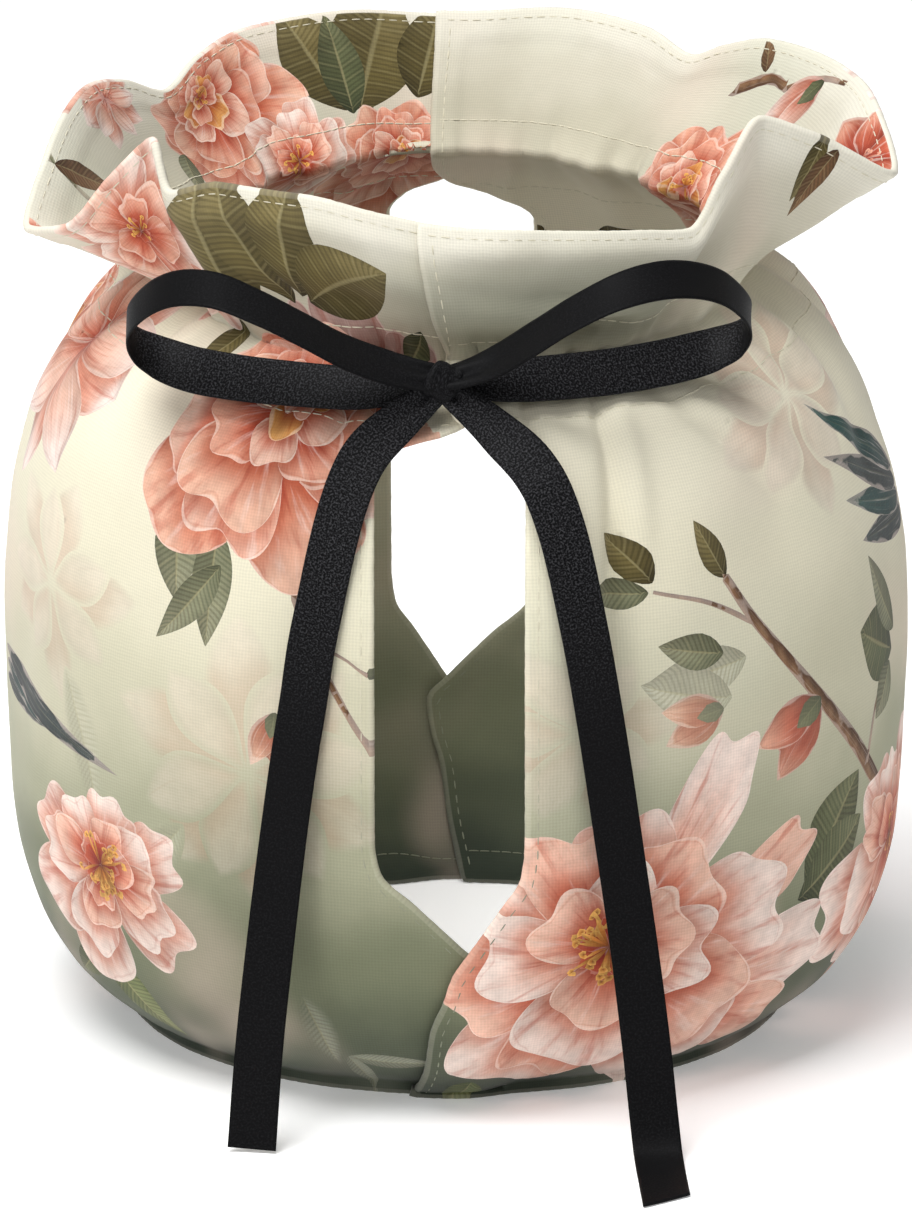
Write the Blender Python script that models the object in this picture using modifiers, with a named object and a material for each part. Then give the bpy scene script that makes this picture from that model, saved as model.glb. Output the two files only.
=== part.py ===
# Gathered tea cosy: two printed cloth panels lapped into a round hollow cover that stands on its hem.
# A slit is left open in the front and in the back seam. The neck is drawn in, the cloth above it
# flares into two side lobes, and a flat ribbon is tied in a bow at the front of the neck.
# All sizes are in millimetres. Angles are degrees from the front (-Y) towards +X, height is from the hem.

import math
from collections import namedtuple

import bmesh
import bpy
import numpy as np
from mathutils import Vector

MM = 0.001

# Driving dimensions
CLOTH = 1.8             # thickness of the hemmed cloth
LAP_STEP = 2.3          # how far the lapping edge stands off the edge below it
LAP_FULL = 11.0         # strip along the lapping edge that stands off in full
LAP_EASE = 12.0         # strip over which it comes back
HEM_LEVEL = 2.6         # the hem stands upright up to here
TURN_LEVEL = 6.0        # a row here keeps the turn above the hem crisp
NECK_LEVEL = 160.0      # middle of the gathered neck, at the sides
NECK_LEAN = 6.0         # the neck is this much lower in front and higher behind
LEAN_POWER = 4          # the lean fades out down the body with this power of the height
RUFFLE_RISE = 38.0      # levels from the neck to the rim
RUFFLE_FLARE = 1.5      # power of the ruffle's outward curve
RUFFLE_ROLL = 2.4       # outward roll of the cloth above the neck
ROW_STEP = 7.6          # longest step of the cloth's rows up the panel
COLUMNS = 30            # even columns between the two seam strips
OVER_STRIP = (0.0, 5.0, LAP_FULL, 17.0)    # columns beside the lapping edge, mm from it
UNDER_STRIP = (0.0, 6.0, 12.0)             # columns beside the edge below, mm from it
RIBBON_WIDTH = 10.0
RIBBON_THICK = 1.0
RIBBON_LIES = 0.55      # height of its middle where it lies on the ground
RIBBON_STEP = 3.6       # step of the ribbon's rows
NUDGE = 0.5             # small step, in degrees or mm, that gives a direction along the cloth or ribbon
TAIL_SLANT = 3.2        # the right tail is cut on the slant: each corner is this far off a square cut
KNOT_CENTRE = (-2.8, -75.6, 156.0)
KNOT_SIZE = (8.2, 6.6, 9.6)
KNOT_CREASE = 0.45      # how square the knot's corners stay
KNOT_ROUNDS = 2         # times that its cage is subdivided
KNOT_LEAN = -28.0       # the knot lies back on the shoulder's slope
FRAME_SHIFT = 20.2      # the part's origin lies this far in front of the cover's axis

Section = namedtuple("Section", "level radius")
Seam = namedtuple("Seam", "level over under")
Rim = namedtuple("Rim", "azimuth radius height")
Pleat = namedtuple("Pleat", "angle width depth down up")
Fold = namedtuple("Fold", "angle lean low high width depth")
Station = namedtuple("Station", "x y z swing rise width")

# Outline of the body, up to the neck
BODY = (
    Section(0.0, 68.6),
    Section(HEM_LEVEL, 68.6),
    Section(7.0, 74.8),
    Section(14.0, 82.3),
    Section(24.0, 88.0),
    Section(38.0, 91.7),
    Section(56.0, 93.3),
    Section(86.0, 94.2),
    Section(110.0, 92.6),
    Section(128.0, 88.6),
    Section(142.0, 82.2),
    Section(151.0, 74.8),
    Section(156.5, 67.2),
    Section(NECK_LEVEL, 61.0),
)

# Sideways place of the two edges of a seam: the lapping edge and the edge that lies under it
SEAM = (
    Seam(0.0, -9.9, -1.5),
    Seam(11.5, -6.5, 2.0),
    Seam(21.5, -5.2, 3.6),
    Seam(28.0, -2.8, 5.6),
    Seam(34.3, -0.9, 6.4),
    Seam(39.2, 2.2, 1.8),
    Seam(48.5, 8.2, -7.6),
    Seam(56.0, 12.8, -15.3),
    Seam(63.0, 13.6, -16.6),
    Seam(142.0, 13.8, -16.6),
    Seam(147.0, 10.0, -12.0),
    Seam(151.5, 0.0, 2.0),
    Seam(156.0, -2.6, 5.2),
    Seam(NECK_LEVEL, -3.0, 5.4),
    Seam(NECK_LEVEL + RUFFLE_RISE, -3.0, 5.4),
)

# The ruffle's rim, once round. It starts at the front seam, and BACK_SEAM is the row at the back seam.
RIM = (
    Rim(-4.0, 61.0, 185.0),
    Rim(14.0, 61.5, 183.5),
    Rim(36.0, 63.5, 181.0),
    Rim(46.5, 65.5, 179.5),
    Rim(54.5, 67.5, 190.0),
    Rim(64.5, 69.0, 199.5),
    Rim(70.5, 78.5, 195.0),
    Rim(78.5, 93.0, 184.5),
    Rim(90.0, 89.0, 190.5),
    Rim(100.0, 86.5, 194.5),
    Rim(113.0, 82.5, 196.0),
    Rim(123.0, 80.0, 195.5),
    Rim(132.0, 77.0, 192.0),
    Rim(138.5, 75.5, 188.5),
    Rim(149.0, 78.0, 192.0),
    Rim(163.0, 79.5, 193.5),
    Rim(178.0, 77.0, 192.5),
    Rim(195.0, 77.5, 193.5),
    Rim(215.0, 78.0, 192.5),
    Rim(226.0, 76.0, 189.5),
    Rim(237.0, 73.0, 185.5),
    Rim(247.0, 76.0, 190.5),
    Rim(257.0, 79.0, 193.0),
    Rim(267.0, 81.5, 191.0),
    Rim(275.5, 85.5, 185.5),
    Rim(284.0, 92.0, 173.5),
    Rim(289.5, 86.0, 175.5),
    Rim(293.0, 77.0, 187.0),
    Rim(297.0, 70.0, 195.5),
    Rim(303.0, 70.0, 186.0),
    Rim(314.0, 67.0, 190.0),
    Rim(331.0, 65.0, 190.5),
    Rim(345.0, 62.5, 187.5),
)
BACK_SEAM = 16

# Middle line of each ribbon piece. The ribbon's width points along swing (degrees from +X towards +Y)
# and rise (degrees up from level).
LOOP_LEFT = (
    Station(-7.6, -75.8, 158.0, 90.0, 40.0, 5.4),
    Station(-14.2, -77.0, 159.2, 90.0, 32.0, 9.0),
    Station(-22.9, -78.5, 163.5, 90.0, 28.0, 10.0),
    Station(-31.4, -79.0, 168.3, 90.0, 28.0, 10.0),
    Station(-40.1, -78.0, 172.5, 90.0, 28.0, 10.0),
    Station(-48.9, -75.0, 175.2, 90.0, 26.0, 10.0),
    Station(-56.5, -70.5, 174.4, 90.0, 24.0, 10.0),
    Station(-63.0, -64.5, 170.0, 90.0, 22.0, 10.0),
    Station(-67.0, -58.5, 163.0, 90.0, 22.0, 10.0),
    Station(-65.6, -54.5, 157.8, 90.0, 32.0, 10.0),
    Station(-61.4, -53.5, 155.1, 90.0, 42.0, 10.0),
    Station(-55.1, -55.4, 153.1, 90.0, 47.0, 10.0),
    Station(-46.2, -60.0, 152.6, 90.0, 48.0, 10.0),
    Station(-32.8, -66.6, 153.0, 90.0, 46.0, 10.0),
    Station(-20.4, -70.8, 153.2, 90.0, 44.0, 9.0),
    Station(-12.4, -72.4, 154.4, 90.0, 42.0, 6.8),
    Station(-7.6, -74.0, 154.3, 90.0, 40.0, 5.4),
)
LOOP_RIGHT = (
    Station(2.0, -75.8, 158.2, 90.0, 40.0, 5.4),
    Station(7.6, -77.2, 160.4, 90.0, 34.0, 8.6),
    Station(15.8, -79.2, 166.4, 90.0, 30.0, 10.0),
    Station(23.6, -80.0, 171.7, 90.0, 28.0, 10.0),
    Station(32.4, -79.0, 175.9, 90.0, 28.0, 10.0),
    Station(41.2, -75.0, 177.3, 90.0, 28.0, 10.0),
    Station(49.3, -69.0, 175.6, 90.0, 26.0, 10.0),
    Station(55.9, -62.5, 171.2, 90.0, 24.0, 10.0),
    Station(60.2, -55.5, 163.5, 90.0, 22.0, 10.0),
    Station(58.6, -51.5, 158.6, 90.0, 32.0, 10.0),
    Station(53.2, -51.5, 156.1, 90.0, 42.0, 10.0),
    Station(46.1, -54.6, 154.8, 90.0, 48.0, 10.0),
    Station(33.5, -61.0, 154.2, 90.0, 48.0, 10.0),
    Station(20.2, -67.4, 154.6, 90.0, 46.0, 10.0),
    Station(9.0, -72.2, 155.2, 90.0, 44.0, 7.6),
    Station(2.0, -73.8, 155.1, 90.0, 40.0, 5.2),
)
TAIL_LEFT = (
    Station(-6.1, -76.4, 149.6, -28.0, -30.0, 5.4),
    Station(-8.6, -77.8, 148.3, -27.0, -30.0, 7.6),
    Station(-12.5, -78.9, 146.3, -26.0, -29.0, 9.6),
    Station(-16.4, -79.6, 143.5, -23.0, -27.0, 10.0),
    Station(-18.9, -81.4, 140.6, -21.0, -25.0, 10.0),
    Station(-20.7, -83.7, 136.7, -20.0, -22.0, 10.0),
    Station(-22.2, -85.4, 133.0, -19.0, -18.0, 10.0),
    Station(-24.8, -88.2, 122.5, -18.0, -13.0, 10.0),
    Station(-27.2, -89.6, 113.9, -18.0, -11.0, 10.0),
    Station(-29.3, -90.3, 103.9, -18.0, -10.0, 10.0),
    Station(-31.0, -90.6, 93.3, -19.0, -9.0, 10.0),
    Station(-32.7, -90.9, 82.7, -19.0, -9.0, 10.0),
    Station(-35.6, -92.2, 61.5, -19.0, -8.0, 10.0),
    Station(-38.1, -95.2, 40.8, -17.0, -7.0, 10.0),
    Station(-40.3, -99.4, 20.5, -13.0, -6.0, 10.0),
    Station(-41.8, -104.0, 0.8, -9.0, -4.0, 10.0),
)
TAIL_RIGHT = (
    Station(0.7, -76.8, 149.8, 28.0, 30.0, 5.2),
    Station(3.2, -78.5, 148.9, 27.0, 30.0, 7.4),
    Station(6.6, -80.2, 147.8, 26.0, 29.0, 9.6),
    Station(10.4, -81.8, 145.8, 24.0, 28.0, 10.0),
    Station(14.0, -84.2, 142.9, 22.0, 26.0, 10.0),
    Station(17.1, -86.7, 139.2, 20.0, 23.0, 10.0),
    Station(19.0, -88.9, 134.5, 19.0, 19.0, 10.0),
    Station(21.3, -91.1, 128.2, 18.0, 15.0, 10.0),
    Station(23.2, -92.9, 121.6, 18.0, 12.0, 10.0),
    Station(24.7, -94.1, 115.0, 18.0, 11.0, 10.0),
    Station(26.8, -95.0, 105.4, 18.0, 9.0, 10.0),
    Station(28.6, -95.4, 94.9, 18.0, 8.0, 10.0),
    Station(30.3, -95.6, 84.2, 18.0, 8.0, 10.0),
    Station(33.4, -96.2, 62.9, 17.0, 8.0, 10.0),
    Station(36.4, -98.2, 42.0, 14.0, 7.0, 10.0),
    Station(39.0, -101.8, 21.6, 9.0, 4.0, 10.0),
    Station(40.3, -104.9, 9.6, 6.0, 1.0, 10.0),
    Station(41.2, -109.4, 2.4, 4.0, 0.0, 10.0),
    Station(41.6, -113.8, 0.8, 3.0, 0.0, 10.0),
    Station(42.7, -134.0, 0.6, 3.0, 0.0, 10.0),
)

# Gathers that run through the neck: how deep, and how far down the shoulder and up the ruffle
PLEATS = (
    Pleat(29.0, 5.5, 2.4, 34.0, 20.0),
    Pleat(46.0, 6.0, 3.8, 26.0, 30.0),
    Pleat(63.0, 5.0, 2.6, 38.0, 14.0),
    Pleat(79.0, 6.0, 3.4, 24.0, 22.0),
    Pleat(97.0, 6.5, 4.0, 33.0, 16.0),
    Pleat(115.0, 5.5, 2.8, 40.0, 24.0),
    Pleat(133.0, 6.0, 3.8, 28.0, 30.0),
    Pleat(152.0, 5.5, 2.8, 36.0, 18.0),
    Pleat(209.0, 6.0, 3.2, 30.0, 20.0),
    Pleat(227.0, 5.5, 3.8, 36.0, 28.0),
    Pleat(245.0, 6.5, 3.0, 26.0, 16.0),
    Pleat(263.0, 5.5, 3.6, 40.0, 20.0),
    Pleat(280.0, 6.0, 2.6, 28.0, 24.0),
    Pleat(297.0, 5.5, 4.0, 32.0, 30.0),
    Pleat(314.0, 6.0, 3.0, 38.0, 18.0),
    Pleat(331.0, 5.5, 2.6, 26.0, 22.0),
)

# Soft troughs (and one roll, with a depth below zero) in the body: they lean sideways as they rise
FOLDS = (
    Fold(90.0, 0.0, 96.0, 163.0, 34.0, 2.6),
    Fold(12.0, 0.02, 70.0, 150.0, 4.5, -1.2),
    Fold(19.5, 0.03, 62.0, 154.0, 3.5, 1.8),
    Fold(30.0, 0.10, 84.0, 152.0, 6.0, -1.2),
    Fold(47.0, 0.12, 96.0, 152.0, 7.0, 1.7),
    Fold(74.0, -0.10, 60.0, 146.0, 8.0, 1.4),
    Fold(103.0, 0.08, 20.0, 110.0, 9.0, 1.5),
    Fold(129.0, -0.08, 70.0, 150.0, 8.0, 1.7),
    Fold(158.0, 0.06, 50.0, 148.0, 6.0, 1.6),
    Fold(205.0, -0.08, 60.0, 146.0, 7.0, 1.5),
    Fold(232.0, 0.10, 30.0, 120.0, 9.0, 1.6),
    Fold(259.0, -0.10, 76.0, 152.0, 8.0, 1.4),
    Fold(286.0, 0.12, 40.0, 132.0, 8.0, 1.5),
    Fold(311.0, -0.12, 84.0, 150.0, 7.0, 1.7),
    Fold(338.0, 0.06, 66.0, 146.0, 5.0, 1.4),
)


def smooth(t):
    """A soft step from 0 to 1."""
    t = min(max(t, 0.0), 1.0)
    return t * t * (3.0 - 2.0 * t)


def slopes(xs, ys, loose):
    """Slopes at the rows of a table. Unless it is loose, the curve is level at each peak and valley."""
    steps = np.diff(ys) / np.diff(xs)
    if loose:
        inner = 0.5 * (steps[:-1] + steps[1:])
    else:
        inner = [0.0 if a * b <= 0.0 else 2.0 * a * b / (a + b) for a, b in zip(steps[:-1], steps[1:])]
    return np.array([steps[0], *inner, steps[-1]])


def spline(xs, ys, x, loose=False):
    """Smooth curve through the rows of a table, read at x."""
    x = min(max(x, xs[0]), xs[-1])
    row = min(int(np.searchsorted(xs, x, side="right")) - 1, len(xs) - 2)
    grade = slopes(xs, ys, loose)
    span = xs[row + 1] - xs[row]
    t = (x - xs[row]) / span
    rise = ys[row] * (1 + 2 * t) * (1 - t) ** 2 + ys[row + 1] * t * t * (3 - 2 * t)
    return rise + span * (grade[row] * t * (1 - t) ** 2 - grade[row + 1] * t * t * (1 - t))


def column(rows, name):
    """One named column of a table."""
    return np.array([getattr(row, name) for row in rows])


def rim_angles():
    """Cloth angle of each rim row: the rim's length is shared out evenly in each panel."""
    azimuth = np.radians(column(RIM, "azimuth"))
    radius = column(RIM, "radius")
    points = np.stack((radius * np.sin(azimuth), -radius * np.cos(azimuth), column(RIM, "height")), axis=1)
    lengths = np.linalg.norm(np.diff(np.vstack((points, points[:1])), axis=0), axis=1)
    along = np.concatenate(([0.0], np.cumsum(lengths)))
    right = 180.0 * along[: BACK_SEAM + 1] / along[BACK_SEAM]
    left = 180.0 + 180.0 * (along[BACK_SEAM + 1:] - along[BACK_SEAM]) / (along[-1] - along[BACK_SEAM])
    return np.concatenate((right, left))


def closed_table(name):
    """A rim column repeated past both ends, so that its curve closes."""
    values = column(RIM, name)
    turn = 360.0 if name == "azimuth" else 0.0
    return np.concatenate((values[-3:] - turn, values, values[:3] + turn))


RIM_ANGLES = rim_angles()
RIM_AT = np.concatenate((RIM_ANGLES[-4:-1] - 360.0, RIM_ANGLES, RIM_ANGLES[1:3] + 360.0))
RIM_TABLES = {name: closed_table(name) for name in Rim._fields}
LEVELS = column(BODY, "level")
RADII = column(BODY, "radius")


def rim_value(name, angle):
    """A rim column at a cloth angle."""
    turns = math.floor(angle / 360.0)
    value = spline(RIM_AT, RIM_TABLES[name], angle - 360.0 * turns)
    return value + 360.0 * turns if name == "azimuth" else value


def turned(angle, centre):
    """Angle from a centre line, from -180 to 180."""
    return (angle - centre + 180.0) % 360.0 - 180.0


def gathers(angle, level):
    """How far the neck's pleats draw the cloth in."""
    total = 0.0
    for pleat in PLEATS:
        reach = pleat.down if level < NECK_LEVEL else pleat.up
        fade = 1.0 - smooth(abs(level - NECK_LEVEL) / reach)
        total += pleat.depth * fade * math.exp(-(turned(angle, pleat.angle) / pleat.width) ** 2)
    return total


def troughs(angle, level):
    """How far the body's soft folds draw the cloth in."""
    total = 0.0
    for fold in FOLDS:
        if fold.low < level < fold.high:
            middle = 0.5 * (fold.low + fold.high)
            across = turned(angle, fold.angle + fold.lean * (level - middle)) / fold.width
            along = math.sin(math.pi * (level - fold.low) / (fold.high - fold.low))
            total += fold.depth * along ** 2 * math.exp(-across * across)
    return total


def cloth_point(angle, level):
    """Point of the round cover at a cloth angle and a level, before the seams are lapped."""
    lean = -NECK_LEAN * math.cos(math.radians(angle))
    if level <= NECK_LEVEL:
        azimuth = angle
        radius = spline(LEVELS, RADII, level)
        height = level + lean * (level / NECK_LEVEL) ** LEAN_POWER
    else:
        t = (level - NECK_LEVEL) / RUFFLE_RISE
        azimuth = angle + (rim_value("azimuth", angle) - angle) * smooth(t)
        radius = RADII[-1] + (rim_value("radius", angle) - RADII[-1]) * t ** RUFFLE_FLARE
        radius += RUFFLE_ROLL * math.sin(math.pi * t)
        foot = NECK_LEVEL + lean
        height = foot + (rim_value("height", angle) - foot) * t
    radius -= gathers(angle, level) + troughs(angle, level)
    azimuth = math.radians(azimuth)
    return Vector((radius * math.sin(azimuth), -radius * math.cos(azimuth), height))


def stand_off(angle, below, level, above):
    """Outward step of 1 mm between the rows below and above: longer at a bend, as in a mitre."""
    across = cloth_point(angle + NUDGE, level) - cloth_point(angle - NUDGE, level)
    here = cloth_point(angle, level)
    lower = across.cross(here - cloth_point(angle, below)).normalized()
    upper = across.cross(cloth_point(angle, above) - here).normalized()
    if below == level:
        lower = upper
    if above == level:
        upper = lower
    outward = (lower + upper).normalized()
    return outward / outward.dot(lower)


def panel_levels():
    """Levels of the rows: every seam row and the hem, with even steps between them."""
    stops = sorted({seam.level for seam in SEAM} | {HEM_LEVEL, TURN_LEVEL})
    levels = [0.0]
    for low, high in zip(stops[:-1], stops[1:]):
        length = (cloth_point(90.0, high) - cloth_point(90.0, low)).length
        steps = math.ceil(length / ROW_STEP)
        levels += [low + (high - low) * step / steps for step in range(1, steps + 1)]
    return levels


def panel_columns(start, end, radius):
    """Cloth angles of the columns from the lapping edge (start) to the edge that goes under (end)."""
    way = 1.0 if end > start else -1.0
    first = [start + way * math.degrees(mm / radius) for mm in OVER_STRIP]
    last = [end - way * math.degrees(mm / radius) for mm in reversed(UNDER_STRIP)]
    even = [first[-1] + (last[0] - first[-1]) * step / COLUMNS for step in range(1, COLUMNS)]
    return first + even + last


def link(shape, collection, material, parent):
    """Puts an object in its collection, under its parent, with its material."""
    collection.objects.link(shape)
    shape.data.materials.append(material)
    shape.parent = parent
    return shape


def grid_object(name, rows):
    """Open cloth surface through rows of points."""
    mesh = bpy.data.meshes.new(name)
    width = len(rows[0])
    corners = [
        (i * width + j, i * width + j + 1, (i + 1) * width + j + 1, (i + 1) * width + j)
        for i in range(len(rows) - 1) for j in range(width - 1)
    ]
    mesh.from_pydata([tuple(point * MM) for row in rows for point in row], [], corners)
    mesh.update()
    mesh.shade_smooth()
    return bpy.data.objects.new(name, mesh)


def thicken(shape, thickness):
    """Gives an open surface its cloth thickness, half to each side."""
    solid = shape.modifiers.new("cloth", "SOLIDIFY")
    solid.thickness = thickness * MM
    solid.offset = 0.0
    solid.use_even_offset = True
    solid.use_quality_normals = True


def panel(name, turn):
    """One half of the cover. Both halves are cut alike, so the left one is the right one turned round."""
    seam_levels = column(SEAM, "level")
    levels = panel_levels()
    rows = []
    for below, level, above in zip(levels[:1] + levels[:-1], levels, levels[1:] + levels[-1:]):
        radius = spline(LEVELS, RADII, min(level, NECK_LEVEL))
        over = spline(seam_levels, column(SEAM, "over"), level)
        under = spline(seam_levels, column(SEAM, "under"), level)
        start = turn + math.degrees(math.asin(over / radius))
        end = turn + 180.0 + math.degrees(math.asin(under / radius))
        row = []
        for angle in panel_columns(start, end, radius):
            edge = math.radians(angle - start) * radius
            lift = LAP_STEP * (1.0 - smooth((edge - LAP_FULL) / LAP_EASE))
            row.append(cloth_point(angle, level) + stand_off(angle, below, level, above) * lift)
        rows.append(row)
    for upper, hem in zip(rows[1], rows[0]):
        hem.x, hem.y, hem.z = upper.x, upper.y, 0.0
    shape = grid_object(name, rows)
    thicken(shape, CLOTH)
    return shape


def ribbon(name, stations, slant=0.0):
    """Flat ribbon along its stations. A slant moves the corners of its far end along it."""
    route = np.array([station[:3] for station in stations])
    along = np.concatenate(([0.0], np.cumsum(np.linalg.norm(np.diff(route, axis=0), axis=1))))
    count = math.ceil(along[-1] / RIBBON_STEP)

    def at(index, way):
        return spline(along, np.array([station[index] for station in stations]), way, loose=True)

    def middle(way):
        return Vector((at(0, way), at(1, way), max(at(2, way), RIBBON_LIES)))

    rows = []
    for step in range(count + 1):
        way = along[-1] * step / count
        forward = (middle(min(way + NUDGE, along[-1])) - middle(max(way - NUDGE, 0.0))).normalized()
        swing, rise = math.radians(at(3, way)), math.radians(at(4, way))
        side = Vector((math.cos(rise) * math.cos(swing), math.cos(rise) * math.sin(swing), math.sin(rise)))
        side = (side - forward * side.dot(forward)).normalized() * min(at(5, way), RIBBON_WIDTH) / 2.0
        end = forward * slant * (step == count)
        rows.append([middle(way) - side + end, middle(way), middle(way) + side - end])
    shape = grid_object(name, rows)
    thicken(shape, RIBBON_THICK)
    return shape


def knot(name):
    """Soft knot: a box cage rounded by subdivision."""
    mesh = bpy.data.meshes.new(name)
    cage = bmesh.new()
    bmesh.ops.create_cube(cage, size=1.0)
    bmesh.ops.scale(cage, vec=Vector(KNOT_SIZE) * MM, verts=cage.verts)
    cage.to_mesh(mesh)
    cage.free()
    mesh.shade_smooth()
    shape = bpy.data.objects.new(name, mesh)
    shape.location = Vector(KNOT_CENTRE) * MM
    shape.rotation_euler.x = math.radians(KNOT_LEAN)
    crease = mesh.attributes.new("crease_edge", "FLOAT", "EDGE")
    crease.data.foreach_set("value", [KNOT_CREASE] * len(mesh.edges))
    soft = shape.modifiers.new("soft", "SUBSURF")
    soft.levels = soft.render_levels = KNOT_ROUNDS
    return shape


def cloth_material(name, colour, roughness):
    """Plain cloth finish."""
    material = bpy.data.materials.new(name)
    material.use_nodes = True
    shader = material.node_tree.nodes["Principled BSDF"]
    shader.inputs["Base Color"].default_value = (*colour, 1.0)
    shader.inputs["Roughness"].default_value = roughness
    shader.inputs["Metallic"].default_value = 0.0
    return material


def main():
    for old in list(bpy.data.objects):
        bpy.data.objects.remove(old, do_unlink=True)
    cosy = bpy.data.collections.new("tea_cosy")
    bpy.context.scene.collection.children.link(cosy)
    frame = bpy.data.objects.new("cosy_frame", None)
    frame.location = (0.0, FRAME_SHIFT * MM, 0.0)
    cosy.objects.link(frame)

    canvas = cloth_material("printed_canvas", (0.72, 0.69, 0.60), 0.85)
    link(panel("panel_right", 0.0), cosy, canvas, frame)
    link(panel("panel_left", 180.0), cosy, canvas, frame)

    satin = cloth_material("black_satin", (0.012, 0.012, 0.014), 0.45)
    link(knot("ribbon_knot"), cosy, satin, frame)
    link(ribbon("ribbon_loop_left", LOOP_LEFT), cosy, satin, frame)
    link(ribbon("ribbon_loop_right", LOOP_RIGHT), cosy, satin, frame)
    link(ribbon("ribbon_tail_left", TAIL_LEFT), cosy, satin, frame)
    link(ribbon("ribbon_tail_right", TAIL_RIGHT, TAIL_SLANT), cosy, satin, frame)


main()
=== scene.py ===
import math

import bpy
import numpy as np
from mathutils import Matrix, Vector
from mathutils.geometry import delaunay_2d_cdt


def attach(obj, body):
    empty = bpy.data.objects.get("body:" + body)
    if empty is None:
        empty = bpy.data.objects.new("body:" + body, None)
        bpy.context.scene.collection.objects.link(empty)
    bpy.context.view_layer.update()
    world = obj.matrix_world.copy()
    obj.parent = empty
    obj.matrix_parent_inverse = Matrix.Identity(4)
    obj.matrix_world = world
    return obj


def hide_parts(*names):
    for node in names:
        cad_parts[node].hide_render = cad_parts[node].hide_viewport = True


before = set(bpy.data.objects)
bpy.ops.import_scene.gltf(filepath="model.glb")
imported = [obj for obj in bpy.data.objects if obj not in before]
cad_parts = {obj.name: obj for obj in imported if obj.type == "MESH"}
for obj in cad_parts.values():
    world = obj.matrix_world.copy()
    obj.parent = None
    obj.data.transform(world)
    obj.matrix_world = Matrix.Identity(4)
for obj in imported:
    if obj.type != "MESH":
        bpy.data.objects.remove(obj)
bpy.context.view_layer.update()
print("frame loaded")

# Sizes below are in millimetres and degrees unless a name says otherwise.
# The round cover's axis stands at x 0, y 0 of the sizes below, axisBack behind the frame's origin.
mm = 0.001
axisBack = 20.2


# camera
cameraView = {
    "distance": 3,         # metres from the aim
    "elevation": 17.6,
    "aimHeight": 84.7,
    "lens": 425.9,
    "sensor": 36,
}


def placeCamera(view):
    lens = bpy.data.cameras.new("photoView")
    lens.lens = view["lens"]
    lens.sensor_width = view["sensor"]
    lens.clip_start = 0.1
    lens.clip_end = 50.0
    camera = bpy.data.objects.new("photoView", lens)
    tilt = math.radians(view["elevation"])
    aim = Vector((0.0, axisBack * mm, view["aimHeight"] * mm))
    camera.location = aim + view["distance"] * Vector((0.0, -math.cos(tilt), math.sin(tilt)))
    camera.rotation_euler = (math.pi / 2 - tilt, 0.0, 0.0)
    bpy.context.scene.collection.objects.link(camera)
    bpy.context.scene.camera = camera


placeCamera(cameraView)


# small tools
def softStep(x):
    x = np.clip(x, 0.0, 1.0)
    return x * x * (3.0 - 2.0 * x)


def bell(x):
    return np.exp(-x * x)


def curveThrough(xs, ys, x, loose=False):
    # smooth curve through a table; unless loose, it is level at each peak and valley
    x = np.clip(x, xs[0], xs[-1])
    row = np.clip(np.searchsorted(xs, x, side="right") - 1, 0, len(xs) - 2)
    rises = np.diff(ys) / np.diff(xs)
    before, after = rises[:-1], rises[1:]
    if loose:
        inner = 0.5 * (before + after)
    else:
        total = np.where(before + after == 0.0, 1.0, before + after)
        inner = np.where(before * after <= 0.0, 0.0, 2.0 * before * after / total)
    grade = np.concatenate((rises[:1], inner, rises[-1:]))
    span = xs[row + 1] - xs[row]
    t = (x - xs[row]) / span
    value = ys[row] * (1 + 2 * t) * (1 - t) ** 2 + ys[row + 1] * t * t * (3 - 2 * t)
    return value + span * (grade[row] * t * (1 - t) ** 2 - grade[row + 1] * t * t * (1 - t))


def unit(vectors):
    return vectors / np.maximum(np.linalg.norm(vectors, axis=-1, keepdims=True), 1e-12)


def toFrame(points):
    # millimetres round the cover's axis to metres in the frame
    return (np.asarray(points) + (0.0, axisBack, 0.0)) * mm


def carry(piece, label, kind, domain, values):
    # values that the mesh carries for its material
    field = {"FLOAT": "value", "FLOAT_VECTOR": "vector", "FLOAT_COLOR": "color"}[kind]
    layer = piece.data.attributes.new(label, kind, domain)
    layer.data.foreach_set(field, np.asarray(values, np.float32).ravel())


def layFlat(piece, label, places):
    # flat cloth place of each face corner, in metres
    flat = piece.data.uv_layers.new(name=label)
    flat.uv.foreach_set("vector", places.astype(np.float32).ravel())


def cornerPoints(piece):
    corner = np.zeros(len(piece.data.loops), np.int32)
    piece.data.loops.foreach_get("vertex_index", corner)
    return corner


def meshObject(name, points, faces, material):
    mesh = bpy.data.meshes.new(name)
    mesh.from_pydata(toFrame(points).tolist(), [], faces)
    mesh.update()
    mesh.shade_smooth()
    mesh.materials.append(material)
    piece = bpy.data.objects.new(name, mesh)
    bpy.context.scene.collection.objects.link(piece)
    return piece


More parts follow.
